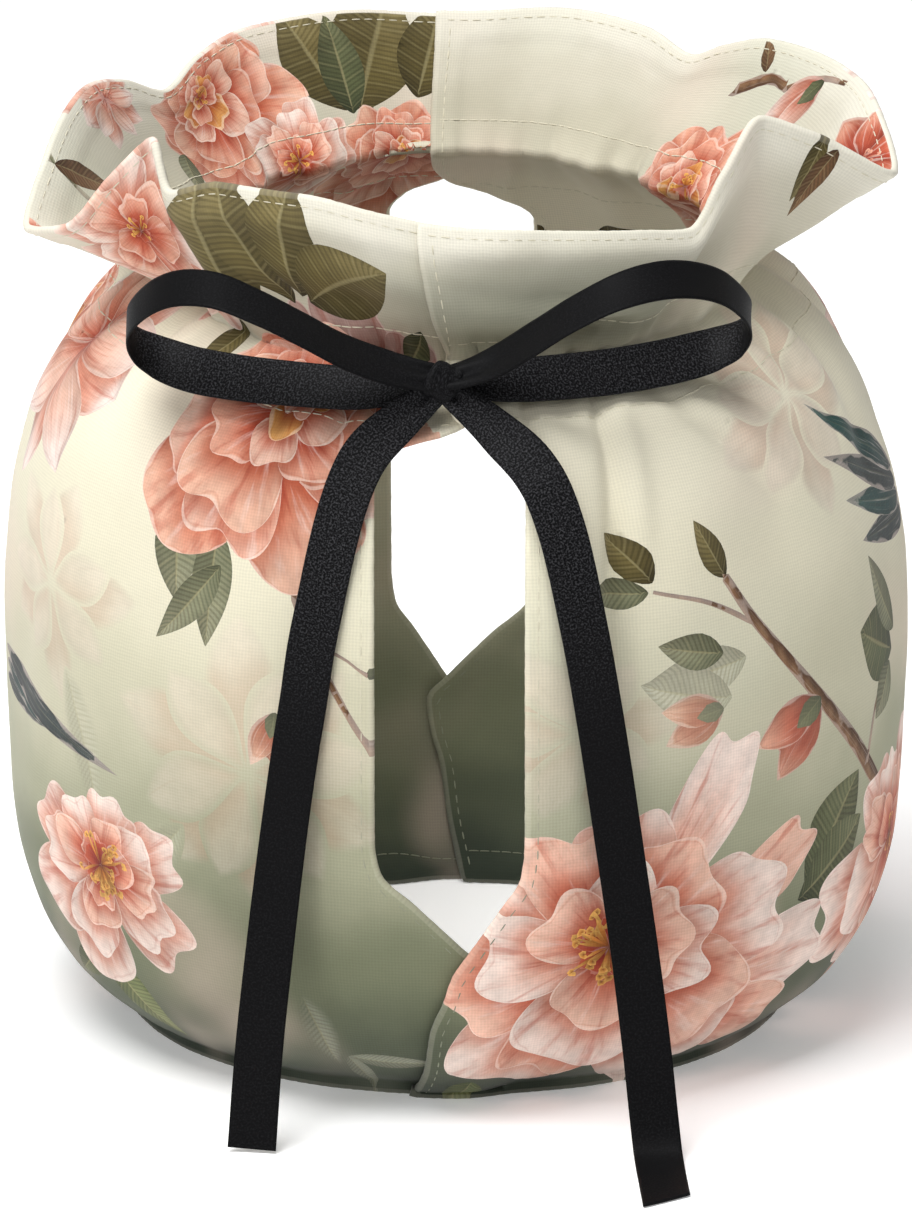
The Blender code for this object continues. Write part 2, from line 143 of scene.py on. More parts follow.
# the cover's surface
cover = {
    "hem": 2.6,            # the hem stands upright to here
    "neck": 160,           # level of the gathered neck
    "neckLean": 6,         # lower in front, higher behind
    "leanPower": 4,
    "rise": 38,            # from the neck to the rim
    "flare": 1.5,
    "roll": 2.4,
    "flatRadius": 94.2,    # the cloth's flat width is measured at this radius
    "lapStep": 2.3,        # the lapping edge stands off the one below it
    "lapFull": 11,
    "lapEase": 12,
    # level, radius
    "body": [
        (0, 68.6), (2.6, 68.6), (7, 74.8), (14, 82.3), (24, 88), (38, 91.7), (56, 93.3), (86, 94.2),
        (110, 92.6), (128, 88.6), (142, 82.2), (151, 74.8), (156.5, 67.2), (160, 61),
    ],
    # level, sideways place of the lapping edge, and of the edge under it
    "seam": [
        (0, -9.9, -1.5), (11.5, -6.5, 2), (21.5, -5.2, 3.6), (28, -2.8, 5.6), (34.3, -0.9, 6.4),
        (39.2, 2.2, 1.8), (48.5, 8.2, -7.6), (56, 12.8, -15.3), (63, 13.6, -16.6), (142, 13.8, -16.6),
        (147, 10, -12), (151.5, 0, 2), (156, -2.6, 5.2), (160, -3, 5.4), (198, -3, 5.4),
    ],
    # azimuth, radius, height of the ruffle's rim, once round from the front seam
    "rim": [
        (-4, 61, 185), (14, 61.5, 183.5), (36, 63.5, 181), (46.5, 65.5, 179.5), (54.5, 67.5, 190),
        (64.5, 69, 199.5), (70.5, 78.5, 195), (78.5, 93, 184.5), (90, 89, 190.5), (100, 86.5, 194.5),
        (113, 82.5, 196), (123, 80, 195.5), (132, 77, 192), (138.5, 75.5, 188.5), (149, 78, 192),
        (163, 79.5, 193.5), (178, 77, 192.5), (195, 77.5, 193.5), (215, 78, 192.5), (226, 76, 189.5),
        (237, 73, 185.5), (247, 76, 190.5), (257, 79, 193), (267, 81.5, 191), (275.5, 85.5, 185.5),
        (284, 92, 173.5), (289.5, 86, 175.5), (293, 77, 187), (297, 70, 195.5), (303, 70, 186),
        (314, 67, 190), (331, 65, 190.5), (345, 62.5, 187.5),
    ],
    "backSeam": 16,        # row of the rim at the back seam
    # gathers through the neck: angle, width, depth, reach down, reach up
    "pleats": [
        (29, 5.5, 2.4, 34, 20), (46, 6, 3.8, 26, 30), (63, 5, 2.6, 38, 14), (79, 6, 3.4, 24, 22),
        (97, 6.5, 4, 33, 16), (115, 5.5, 2.8, 40, 24), (133, 6, 3.8, 28, 30), (152, 5.5, 2.8, 36, 18),
        (209, 6, 3.2, 30, 20), (227, 5.5, 3.8, 36, 28), (245, 6.5, 3, 26, 16), (263, 5.5, 3.6, 40, 20),
        (280, 6, 2.6, 28, 24), (297, 5.5, 4, 32, 30), (314, 6, 3, 38, 18), (331, 5.5, 2.6, 26, 22),
        (12, 17, 7, 7, 24), (350, 10, 4.5, 7, 22), (345.5, 4, 2.4, 12, 24), (20, 3.6, 1.8, 30, 22),
        (7, 2.8, 1.4, 10, 15), (13.5, 2.6, 1.2, 14, 11), (26.5, 2.6, 1.5, 17, 14), (35, 3, 1.7, 20, 12),
        (39.5, 2.6, 1.3, 15, 16), (53, 3, 1.6, 18, 10), (338.5, 2.8, 1.4, 16, 14),
        (324.5, 3, 1.6, 20, 12), (306, 3, 1.4, 16, 10), (289, 3, 1.3, 18, 9),
    ],
    # soft troughs in the body: angle, lean, low, high, width, depth
    "folds": [
        (90, 0, 96, 163, 34, 2.6), (12, 0.02, 70, 150, 4.5, -1.2), (19.5, 0.03, 62, 154, 3.5, 1.8),
        (30, 0.10, 84, 152, 6, -1.2), (47, 0.12, 96, 152, 7, 1.7), (74, -0.10, 60, 146, 8, 1.4),
        (103, 0.08, 20, 110, 9, 1.5), (129, -0.08, 70, 150, 8, 1.7), (158, 0.06, 50, 148, 6, 1.6),
        (205, -0.08, 60, 146, 7, 1.5), (232, 0.10, 30, 120, 9, 1.6), (259, -0.10, 76, 152, 8, 1.4),
        (286, 0.12, 40, 132, 8, 1.5), (311, -0.12, 84, 150, 7, 1.7), (338, 0.06, 66, 146, 5, 1.4),
    ],
    # small uneven gathers right at the neck
    "fineGathers": {"count": 57, "depth": 0.75, "reach": 9},
}

bodyLevels, bodyRadii = np.array(cover["body"]).T
seamLevels, seamOver, seamUnder = np.array(cover["seam"]).T


def rimTables():
    # the rim's length is shared out evenly over the cloth of each panel
    azimuth, radius, height = np.array(cover["rim"]).T
    turn = np.radians(azimuth)
    points = np.stack((radius * np.sin(turn), -radius * np.cos(turn), height), axis=1)
    steps = np.linalg.norm(np.diff(np.vstack((points, points[:1])), axis=0), axis=1)
    along = np.concatenate(([0.0], np.cumsum(steps)))
    back = cover["backSeam"]
    right = 180.0 * along[: back + 1] / along[back]
    left = 180.0 + 180.0 * (along[back + 1:] - along[back]) / (along[-1] - along[back])
    angle = np.concatenate((right, left))
    at = np.concatenate((angle[-4:-1] - 360.0, angle, angle[1:3] + 360.0))

    def wrapped(values, turn=0.0):
        return np.concatenate((values[-3:] - turn, values, values[:3] + turn))

    return at, wrapped(azimuth, 360.0), wrapped(radius), wrapped(height)


rimAt, rimAzimuths, rimRadii, rimHeights = rimTables()


def fromCentre(angle, centre):
    return (angle - centre + 180.0) % 360.0 - 180.0


def coverPoint(angle, level):
    # point of the round cover before the seams are lapped
    inBody = np.clip(level, cover["hem"], cover["neck"])
    lean = -cover["neckLean"] * np.cos(np.radians(angle))
    t = np.maximum(level - cover["neck"], 0.0) / cover["rise"]
    turns = np.floor(angle / 360.0) * 360.0
    rimAngle = angle - turns
    azimuth = curveThrough(rimAt, rimAzimuths, rimAngle) + turns
    azimuth = angle + (azimuth - angle) * softStep(t)
    radius = curveThrough(bodyLevels, bodyRadii, inBody)
    radius = radius + (curveThrough(rimAt, rimRadii, rimAngle) - bodyRadii[-1]) * t ** cover["flare"]
    radius = radius + cover["roll"] * np.sin(math.pi * np.clip(t, 0.0, 1.0))
    foot = cover["neck"] + lean
    low = inBody + lean * (inBody / cover["neck"]) ** cover["leanPower"]
    low = np.where(level < cover["hem"], low + level - cover["hem"], low)
    height = np.where(t > 0.0, foot + (curveThrough(rimAt, rimHeights, rimAngle) - foot) * t, low)
    draw = np.zeros_like(radius)
    for centre, width, depth, down, up in cover["pleats"]:
        reach = np.where(inBody < cover["neck"], down, up)
        away = np.where(inBody < cover["neck"], cover["neck"] - inBody, level - cover["neck"])
        draw += depth * (1.0 - softStep(away / reach)) * bell(fromCentre(angle, centre) / width)
    for centre, tilt, bottom, top, width, depth in cover["folds"]:
        along = np.sin(math.pi * np.clip((inBody - bottom) / (top - bottom), 0.0, 1.0)) ** 2
        across = fromCentre(angle, centre + tilt * (inBody - 0.5 * (bottom + top))) / width
        draw += depth * np.where(level > cover["neck"], 0.0, along) * bell(across)
    # fine gathers, bunched unevenly by slower waves round the neck
    fine = cover["fineGathers"]
    wobble = np.radians(angle)
    ripple = np.cos(fine["count"] * wobble + 2.2 * np.sin(5 * wobble) + 1.7 * np.sin(8 * wobble + 1.0))
    ripple = ripple * (0.62 + 0.38 * np.sin(3 * wobble + 1.0))
    draw += fine["depth"] * ripple * bell((level - cover["neck"]) / fine["reach"])
    radius = radius - draw
    azimuth = np.radians(azimuth)
    return np.stack((radius * np.sin(azimuth), -radius * np.cos(azimuth), height), axis=-1)


# the cloth's flat length up the profile, against the level
profileSteps = np.hypot(np.diff(bodyLevels), np.diff(bodyRadii))
profileLevels = np.concatenate((bodyLevels, [cover["neck"] + cover["rise"]]))
profileFlat = np.concatenate(([0.0], np.cumsum(profileSteps)))
profileFlat = np.concatenate((profileFlat, [profileFlat[-1] + cover["rise"]]))
topFlat = profileFlat[-1]


def levelOf(v):
    return np.interp(v, profileFlat, profileLevels) + np.maximum(v - topFlat, 0.0) + np.minimum(v, 0.0)


def seamAngles(turn, level):
    # angles of a panel's lapping edge and of the edge that goes under
    radius = curveThrough(bodyLevels, bodyRadii, np.minimum(level, cover["neck"]))
    over = np.degrees(np.arcsin(curveThrough(seamLevels, seamOver, level) / radius))
    under = np.degrees(np.arcsin(curveThrough(seamLevels, seamUnder, level) / radius))
    return turn + over, turn + 180.0 + under, radius


# creases pressed or drawn into the cloth: panel, flat place of both ends, width, depth
creases = {
    "left": [
        (-24, 186, -34, 150, 3, 1.5), (-44, 184, -52, 142, 4, 1.5), (-80, 184, -72, 134, 4.5, 1.7),
        (-104, 184, -112, 138, 4, 1.6), (-4, 198, -74, 192, 4.2, 1.9), (-4, 212, -80, 211, 3.2, -1.1),
        (-132, 182, -140, 126, 5, 1.7), (-62, 182, -66, 152, 3, -0.9), (-92, 182, -92, 146, 3.4, -0.9),
        (-118, 180, -124, 142, 4, -1), (-20, 78, -60, 52, 6, 0.6), (-176, 180, -168, 134, 4, 1.2),
        (-206, 178, -214, 138, 4.5, 1.1), (-238, 180, -230, 128, 4, 1.2), (-262, 178, -270, 140, 3.5, 1),
    ],
    "right": [
        (40, 182, 30, 104, 2.2, 2), (47, 178, 38, 118, 3, -1.2), (52, 176, 84, 134, 3.6, 1.9),
        (60, 182, 98, 150, 3.4, 1.4), (72, 180, 112, 126, 4.2, 1.7), (84, 184, 100, 150, 3.2, 1.5),
        (58, 168, 92, 136, 3.4, -1.1), (78, 172, 108, 142, 3.4, -1), (4, 184, 52, 205, 2.4, -1.2),
        (8, 181, 70, 196, 2.6, 1.4), (14, 180, 84, 188, 2.4, -1.1), (-6, 203, 90, 198, 3.8, 2.4),
        (-6, 190, 82, 186, 4, 2), (-6, 213, 96, 212, 3.2, -1.4), (14, 196, 60, 196, 3, -1.2),
        (16, 184, 20, 144, 2.6, 1.3), (104, 182, 112, 142, 4, 1.7), (130, 182, 124, 130, 4.5, 1.6),
        (160, 182, 168, 136, 4, 1.6), (192, 178, 184, 128, 4.5, 1), (224, 180, 232, 142, 4, 1.2),
        (256, 178, 248, 132, 4.5, 1.1), (280, 180, 284, 146, 3.5, 1),
    ],
}
unevenCloth = 0.22         # height of the slight waves all over


def creaseDepth(side, u, v):
    # how far the cloth lies inward at a flat place
    depth = np.zeros_like(u)
    for u0, v0, u1, v1, width, deep in creases[side]:
        run = np.hypot(u1 - u0, v1 - v0)
        du, dv = (u1 - u0) / run, (v1 - v0) / run
        along = ((u - u0) * du + (v - v0) * dv) / run
        across = (u - u0) * dv - (v - v0) * du
        ends = np.sin(math.pi * np.clip(along, 0.0, 1.0)) ** 0.8
        depth += deep * ends * bell(across / width)
    # slow and quick waves that never fall into step
    slow = np.sin(u / 11.0 + 1.3 * np.sin(v / 17.0)) * np.sin(v / 14.0 + 1.1 * np.sin(u / 19.0))
    quick = np.sin(u / 4.6 + 2.0 * np.sin(v / 9.0)) * np.sin(v / 6.1 + 1.7 * np.sin(u / 7.3))
    return depth + unevenCloth * (slow + 0.35 * quick)


panelTurn = {"right": 0, "left": -180}


def panelPoint(side, u, v):
    # middle of the cloth at a flat place, lapped and creased
    angle = np.degrees(u / cover["flatRadius"])
    level = levelOf(v)
    small = 0.4
    here = coverPoint(angle, level)
    around = coverPoint(angle + small, level) - coverPoint(angle - small, level)
    upward = coverPoint(angle, level + small) - coverPoint(angle, level - small)
    outward = unit(np.cross(around, upward))
    start, _, radius = seamAngles(panelTurn[side], level)
    edge = np.radians(angle - start) * radius
    lift = cover["lapStep"] * (1.0 - softStep((edge - cover["lapFull"]) / cover["lapEase"]))
    return here + outward * (lift - creaseDepth(side, u, v))[..., None]


def panelNormal(side, u, v):
    small = 0.35
    around = panelPoint(side, u + small, v) - panelPoint(side, u - small, v)
    upward = panelPoint(side, u, v + small) - panelPoint(side, u, v - small)
    return unit(np.cross(around, upward))


# the print: shapes on the flat cloth
def ink(red, green, blue):
    rgb = np.array((red, green, blue)) / 255.0
    return np.where(rgb <= 0.04045, rgb / 12.92, ((rgb + 0.055) / 1.055) ** 2.4)


# heart, middle and rim of a petal or leaf
inks = {
    "palePink": ((200, 98, 72), (229, 172, 150), (249, 228, 216)),
    "blush": ((166, 58, 36), (209, 122, 95), (242, 196, 174)),
    "coral": ((138, 42, 24), (198, 98, 70), (232, 168, 142)),
    "amber": ((98, 36, 14), (190, 104, 40), (232, 170, 96)),
    "glow": ((222, 84, 40), (246, 198, 176), (252, 234, 224)),
    "peach": ((168, 62, 38), (208, 126, 96), (240, 190, 164)),
    "mauve": ((92, 60, 52), (142, 108, 98), (176, 146, 136)),
    "olive": ((60, 50, 20), (110, 98, 54), (154, 140, 96)),
    "moss": ((52, 60, 36), (94, 100, 66), (134, 136, 100)),
    "greyGreen": ((104, 108, 80), (138, 140, 110), (168, 166, 138)),
    "fresh": ((78, 92, 44), (120, 130, 80), (158, 160, 116)),
    "twig": ((86, 58, 36), (126, 92, 62), (164, 128, 94)),
    "teal": ((14, 34, 36), (20, 62, 60), (38, 92, 84)),
    "slate": ((26, 34, 36), (44, 54, 54), (76, 88, 86)),
    "stamen": ((136, 54, 20), (206, 124, 46), (246, 186, 98)),
    "heartRed": ((104, 26, 14), (156, 54, 32), (196, 92, 62)),
    "ghostRose": ((224, 196, 180), (228, 206, 190), (232, 214, 200)),
    "ghostLeaf": ((190, 190, 164), (202, 200, 176), (210, 208, 186)),
    "mist": ((150, 154, 134), (168, 170, 150), (182, 184, 164)),
}
inks = {name: [ink(*shade) for shade in shades] for name, shades in inks.items()}


# shading of the printed shapes
brush = {
    "overlap": 0.72,       # how dark a petal is where the next one lies over it
    "overlapReach": 0.18,  # as a share of that petal's length
    "overlapLeast": 3,     # shorter shapes cast none
    "overlapMost": 26,     # and a longer one casts no more than this length does
    "overlapNext": 40,     # shapes that are looked through for it
    "petalShadow": (0.66, 0.30, 0.20),
    "leafShadow": (0.5, 0.5, 0.45),
    "edges": 0.22,         # towards both edges of a petal or leaf
    "side": 0.20,          # from one edge to the other
    "facing": 0.10,        # petals that point up and to the left are lighter
}


def placeAt(u, v, turn=0.0, squash=1.0):
    return {"u": u, "v": v, "turn": math.radians(turn), "squash": squash}


def printShape(form, place, length, turn, inkName, usual, own):
    return {"form": form, "place": place, "length": length, "turn": math.radians(turn), "ink": inkName,
            "x": 0.0, "y": 0.0, "opacity": 1.0, "side": 0.0, **usual, **own}


def fan(place, length, turn, spread, inkName, **own):
    # a petal that widens from its base
    usual = {"spread": math.radians(spread), "ruffle": 0.05, "waves": 3.0, "phase": 0.0, "notch": 0.0,
             "streak": 1.0, "vein": 0.0}
    return printShape("fan", place, length, turn, inkName, usual, own)


def blade(place, length, width, turn, inkName, **own):
    # a leaf or a long petal, pointed at both ends
    usual = {"width": width, "bend": 0.0, "fullest": 0.8, "streak": 0.0, "vein": 1.0}
    return printShape("blade", place, length, turn, inkName, usual, own)


def petal(u, v, length, turn, spread, inkName, side, ruffle=0.05):
    return [fan(placeAt(u, v), length, turn, spread, inkName, ruffle=ruffle, side=side)]


def stroke(points, thick, thin, inkName="twig"):
    # a twig or stem through a few flat points
    points = np.array(points, float)
    along = np.concatenate(([0.0], np.cumsum(np.linalg.norm(np.diff(points, axis=0), axis=1))))
    ways = np.linspace(0.0, along[-1], max(6, int(along[-1] / 2.5)))
    line = np.stack([curveThrough(along, points[:, i], ways, loose=True) for i in (0, 1)], axis=1)
    return [{"form": "stroke", "place": None, "line": line, "length": along[-1], "thick": thick,
             "thin": thin, "ink": inkName, "opacity": 1.0, "streak": 0.8, "vein": 0.0, "side": 0.35}]


def fanReach(shape, tau):
    # from its base to the outline, tau from -1 to 1 over the spread
    inner = np.minimum(np.abs(tau), 1.0)
    reach = np.sqrt(np.maximum(1.0 - inner ** 2.6, 0.0))
    reach = reach * (1.0 + shape["ruffle"] * np.sin(shape["waves"] * math.pi * tau + shape["phase"]))
    return shape["length"] * np.maximum(reach * (1.0 - shape["notch"] * bell(tau / 0.2)), 1e-3)


def bladeHalf(shape, a):
    # half the width, a from 0 at the stem to 1 at the tip
    wide = np.sin(math.pi * np.clip(a, 0.0, 1.0) ** shape["fullest"]) ** 0.9
    return 0.5 * shape["width"] * np.maximum(wide, 1e-3)


def strokeHalf(shape, a):
    return 0.5 * (shape["thick"] + (shape["thin"] - shape["thick"]) * np.clip(a, 0.0, 1.0))


def toCloth(shape, along, across):
    # from a shape's own lengths to a flat place
    c, s = math.cos(shape["turn"]), math.sin(shape["turn"])
    x = shape["x"] + along * s + across * c
    y = (shape["y"] + along * c - across * s) * shape["place"]["squash"]
    c, s = math.cos(shape["place"]["turn"]), math.sin(shape["place"]["turn"])
    return np.stack((shape["place"]["u"] + x * c + y * s, shape["place"]["v"] - x * s + y * c), axis=-1)


def fromCloth(shape, points):
    # how far along, how far across (-1 to 1), and millimetres inside the outline
    if shape["form"] == "stroke":
        line = shape["line"]
        best = np.full(len(points), 1e9)
        share, offset = np.zeros(len(points)), np.zeros(len(points))
        for i in range(len(line) - 1):
            run = line[i + 1] - line[i]
            t = np.clip(((points - line[i]) @ run) / (run @ run), 0.0, 1.0)
            gap = points - (line[i] + t[:, None] * run)
            away = np.hypot(gap[:, 0], gap[:, 1])
            nearer = away < best
            best = np.where(nearer, away, best)
            share = np.where(nearer, (i + t) / (len(line) - 1), share)
            turned = (run[0] * gap[:, 1] - run[1] * gap[:, 0]) / np.hypot(*run)
            offset = np.where(nearer, turned, offset)
        half = strokeHalf(shape, share)
        return share, offset / half, half - best
    place = shape["place"]
    c, s = math.cos(place["turn"]), math.sin(place["turn"])
    du, dv = points[:, 0] - place["u"], points[:, 1] - place["v"]
    x = du * c - dv * s - shape["x"]
    y = (du * s + dv * c) / place["squash"] - shape["y"]
    c, s = math.cos(shape["turn"]), math.sin(shape["turn"])
    along, across = x * s + y * c, x * c - y * s
    if shape["form"] == "fan":
        r = np.hypot(along, across)
        tau = np.arctan2(across, along) / shape["spread"]
        reach = fanReach(shape, tau)
        inside = np.minimum(reach - r, (1.0 - np.abs(tau)) * shape["spread"] * r)
        return r / reach, tau, inside
    a = along / shape["length"]
    middle = shape["bend"] * shape["length"] * np.clip(a, 0.0, 1.2) ** 2
    half = bladeHalf(shape, a)
    inside = np.minimum(half - np.abs(across - middle), np.minimum(a, 1.0 - a) * shape["length"])
    return a, (across - middle) / half, inside


def outlineOf(shape, step):
    # flat points round a shape, about a step apart
    if shape["form"] == "fan":
        count = max(10, int(shape["length"] * (1.0 + 2.0 * shape["spread"]) / step))
        tau = np.sin(np.linspace(-math.pi / 2, math.pi / 2, count))
        reach = fanReach(shape, tau)
        phi = tau * shape["spread"]
        return toCloth(shape, reach * np.cos(phi), reach * np.sin(phi))
    if shape["form"] == "stroke":
        line = shape["line"]
        way = unit(np.gradient(line, axis=0))
        side = np.stack((-way[:, 1], way[:, 0]), axis=1)
        half = strokeHalf(shape, np.linspace(0.0, 1.0, len(line)))[:, None]
        return np.vstack((line + side * half, (line - side * half)[::-1]))
    count = max(6, int(shape["length"] / step))
    a = 0.5 - 0.5 * np.cos(np.linspace(0.0, math.pi, count))
    middle = shape["bend"] * shape["length"] * a ** 2
    half = bladeHalf(shape, a)
    near = toCloth(shape, a * shape["length"], middle - half)
    far = toCloth(shape, a * shape["length"], middle + half)
    return np.vstack((near, far[-2:0:-1]))


# flowers, each a list of shapes from the lowest to the topmost
def stamens(place, size, count, rng, inkName="stamen", y=0.0):
    shapes = []
    for i in range(count):
        turn = rng.uniform(0.0, 360.0)
        reach = size * rng.uniform(0.45, 1.0)
        shapes.append(blade(place, reach, 0.05 * size + 0.35, turn, inkName, y=y,
                            bend=rng.uniform(-0.2, 0.2), fullest=1.4, vein=0.0))
        tipX = reach * math.sin(math.radians(turn))
        tipY = y + reach * math.cos(math.radians(turn))
        shapes.append(fan(place, 0.09 * size + 0.3, turn, 170.0, inkName, x=tipX, y=tipY, ruffle=0.1,
                          streak=0.0))
    return shapes


flowerForms = {
    # petals, reach, half spread, ink, base moved up, ruffle
    "peony": [
        (5, 1, 40, "palePink", 0, 0.05), (5, 0.84, 42, "blush", 0.02, 0.06),
        (4, 0.64, 46, "palePink", 0.05, 0.07), (3, 0.44, 58, "blush", 0.08, 0.08),
    ],
    "rose": [
        (5, 1, 46, "peach", 0, 0.04), (5, 0.84, 44, "blush", 0.04, 0.05),
        (4, 0.70, 50, "peach", 0.10, 0.05), (4, 0.56, 48, "coral", 0.15, 0.06),
        (4, 0.43, 52, "blush", 0.20, 0.06), (3, 0.31, 60, "amber", 0.24, 0.07),
        (3, 0.20, 64, "coral", 0.27, 0.07), (2, 0.11, 90, "amber", 0.28, 0.08),
    ],
    "pale": [
        (6, 1, 38, "palePink", 0, 0.06), (5, 0.82, 42, "palePink", 0.03, 0.06),
        (4, 0.60, 46, "blush", 0.06, 0.07), (3, 0.38, 54, "coral", 0.08, 0.08),
    ],
}
petalHang = 0.14           # petals that point down are longer


def fullFlower(form, u, v, size, turn, squash, seed, heart=0.2, count=16):
    place = placeAt(u, v, turn, squash)
    rng = np.random.default_rng(seed)
    shapes = []
    for ring, (petals, reach, spread, inkName, lift, ruffle) in enumerate(flowerForms[form]):
        for i in rng.permutation(petals):
            way = 360.0 * (i + 0.5 * (ring % 2)) / petals + rng.uniform(-14.0, 14.0)
            longer = 1.0 - petalHang * math.cos(math.radians(way + turn))
            shapes.append(fan(place, size * reach * longer * rng.uniform(0.88, 1.08), way,
                              spread * rng.uniform(0.85, 1.15), inkName,
                              x=size * 0.04 * rng.uniform(-1.0, 1.0), y=size * lift, ruffle=ruffle,
                              waves=rng.uniform(1.6, 3.6), phase=rng.uniform(0.0, 6.3),
                              notch=rng.uniform(0.0, 0.10), side=rng.uniform(-1.0, 1.0)))
    y = size * flowerForms[form][-1][4]
    for i in range(5):
        shapes.append(fan(place, size * heart * 0.75, 72.0 * i, 50.0, "heartRed", y=y, ruffle=0.1,
                          streak=0.4))
    return shapes + stamens(place, size * heart, count, rng, y=y)


def starFlower(u, v, size, turn, squash, seed, inkName, heart=0.24, opacity=1.0, petals=5):
    # long open petals with a streaked heart
    place = placeAt(u, v, turn, squash)
    rng = np.random.default_rng(seed)
    shapes = []
    for ring, (reach, wide) in enumerate(((1.0, 0.52), (0.86, 0.46))):
        for i in range(petals):
            way = 360.0 * (i + 0.5 * ring) / petals + rng.uniform(-9.0, 9.0)
            shapes.append(blade(place, size * reach * rng.uniform(0.9, 1.08), size * wide, way, inkName,
                                bend=rng.uniform(-0.12, 0.12), fullest=1.25, opacity=opacity,
                                streak=opacity, vein=0.0, side=rng.uniform(-1.0, 1.0)))
    if heart:
        shapes += stamens(place, size * heart, 8, rng, "coral")
    return shapes


def bud(u, v, size, turn, inkName="coral", opacity=1.0):
    place = placeAt(u, v, turn)
    petals = {"fullest": 0.9, "streak": 1.0, "vein": 0.0, "opacity": opacity}
    return [
        blade(place, size, 0.55 * size, -16.0, inkName, **petals),
        blade(place, size, 0.50 * size, 14.0, inkName, side=1.0, **petals),
        blade(place, 0.45 * size, 0.3 * size, 0.0, "moss", vein=0.5, opacity=opacity),
    ]


def leaf(u, v, length, width, turn, inkName, bend, opacity=1.0, fullest=0.8):
    return [blade(placeAt(u, v), length, width, turn, inkName, bend=bend, opacity=opacity,
                  fullest=fullest)]


def feathery(u, v, length, width, turn, count, spread):
    # a fan of narrow dark blades
    shapes = []
    for i in range(count):
        share = i / max(count - 1, 1)
        shapes.append(blade(placeAt(u, v + 2.2 * (share - 0.5) * count), length * (0.82 + 0.3 * share),
                            width, turn + spread * (share - 0.5), "teal" if i % 2 else "slate",
                            bend=0.05, fullest=0.7, streak=1.0, vein=0.25))
    return shapes


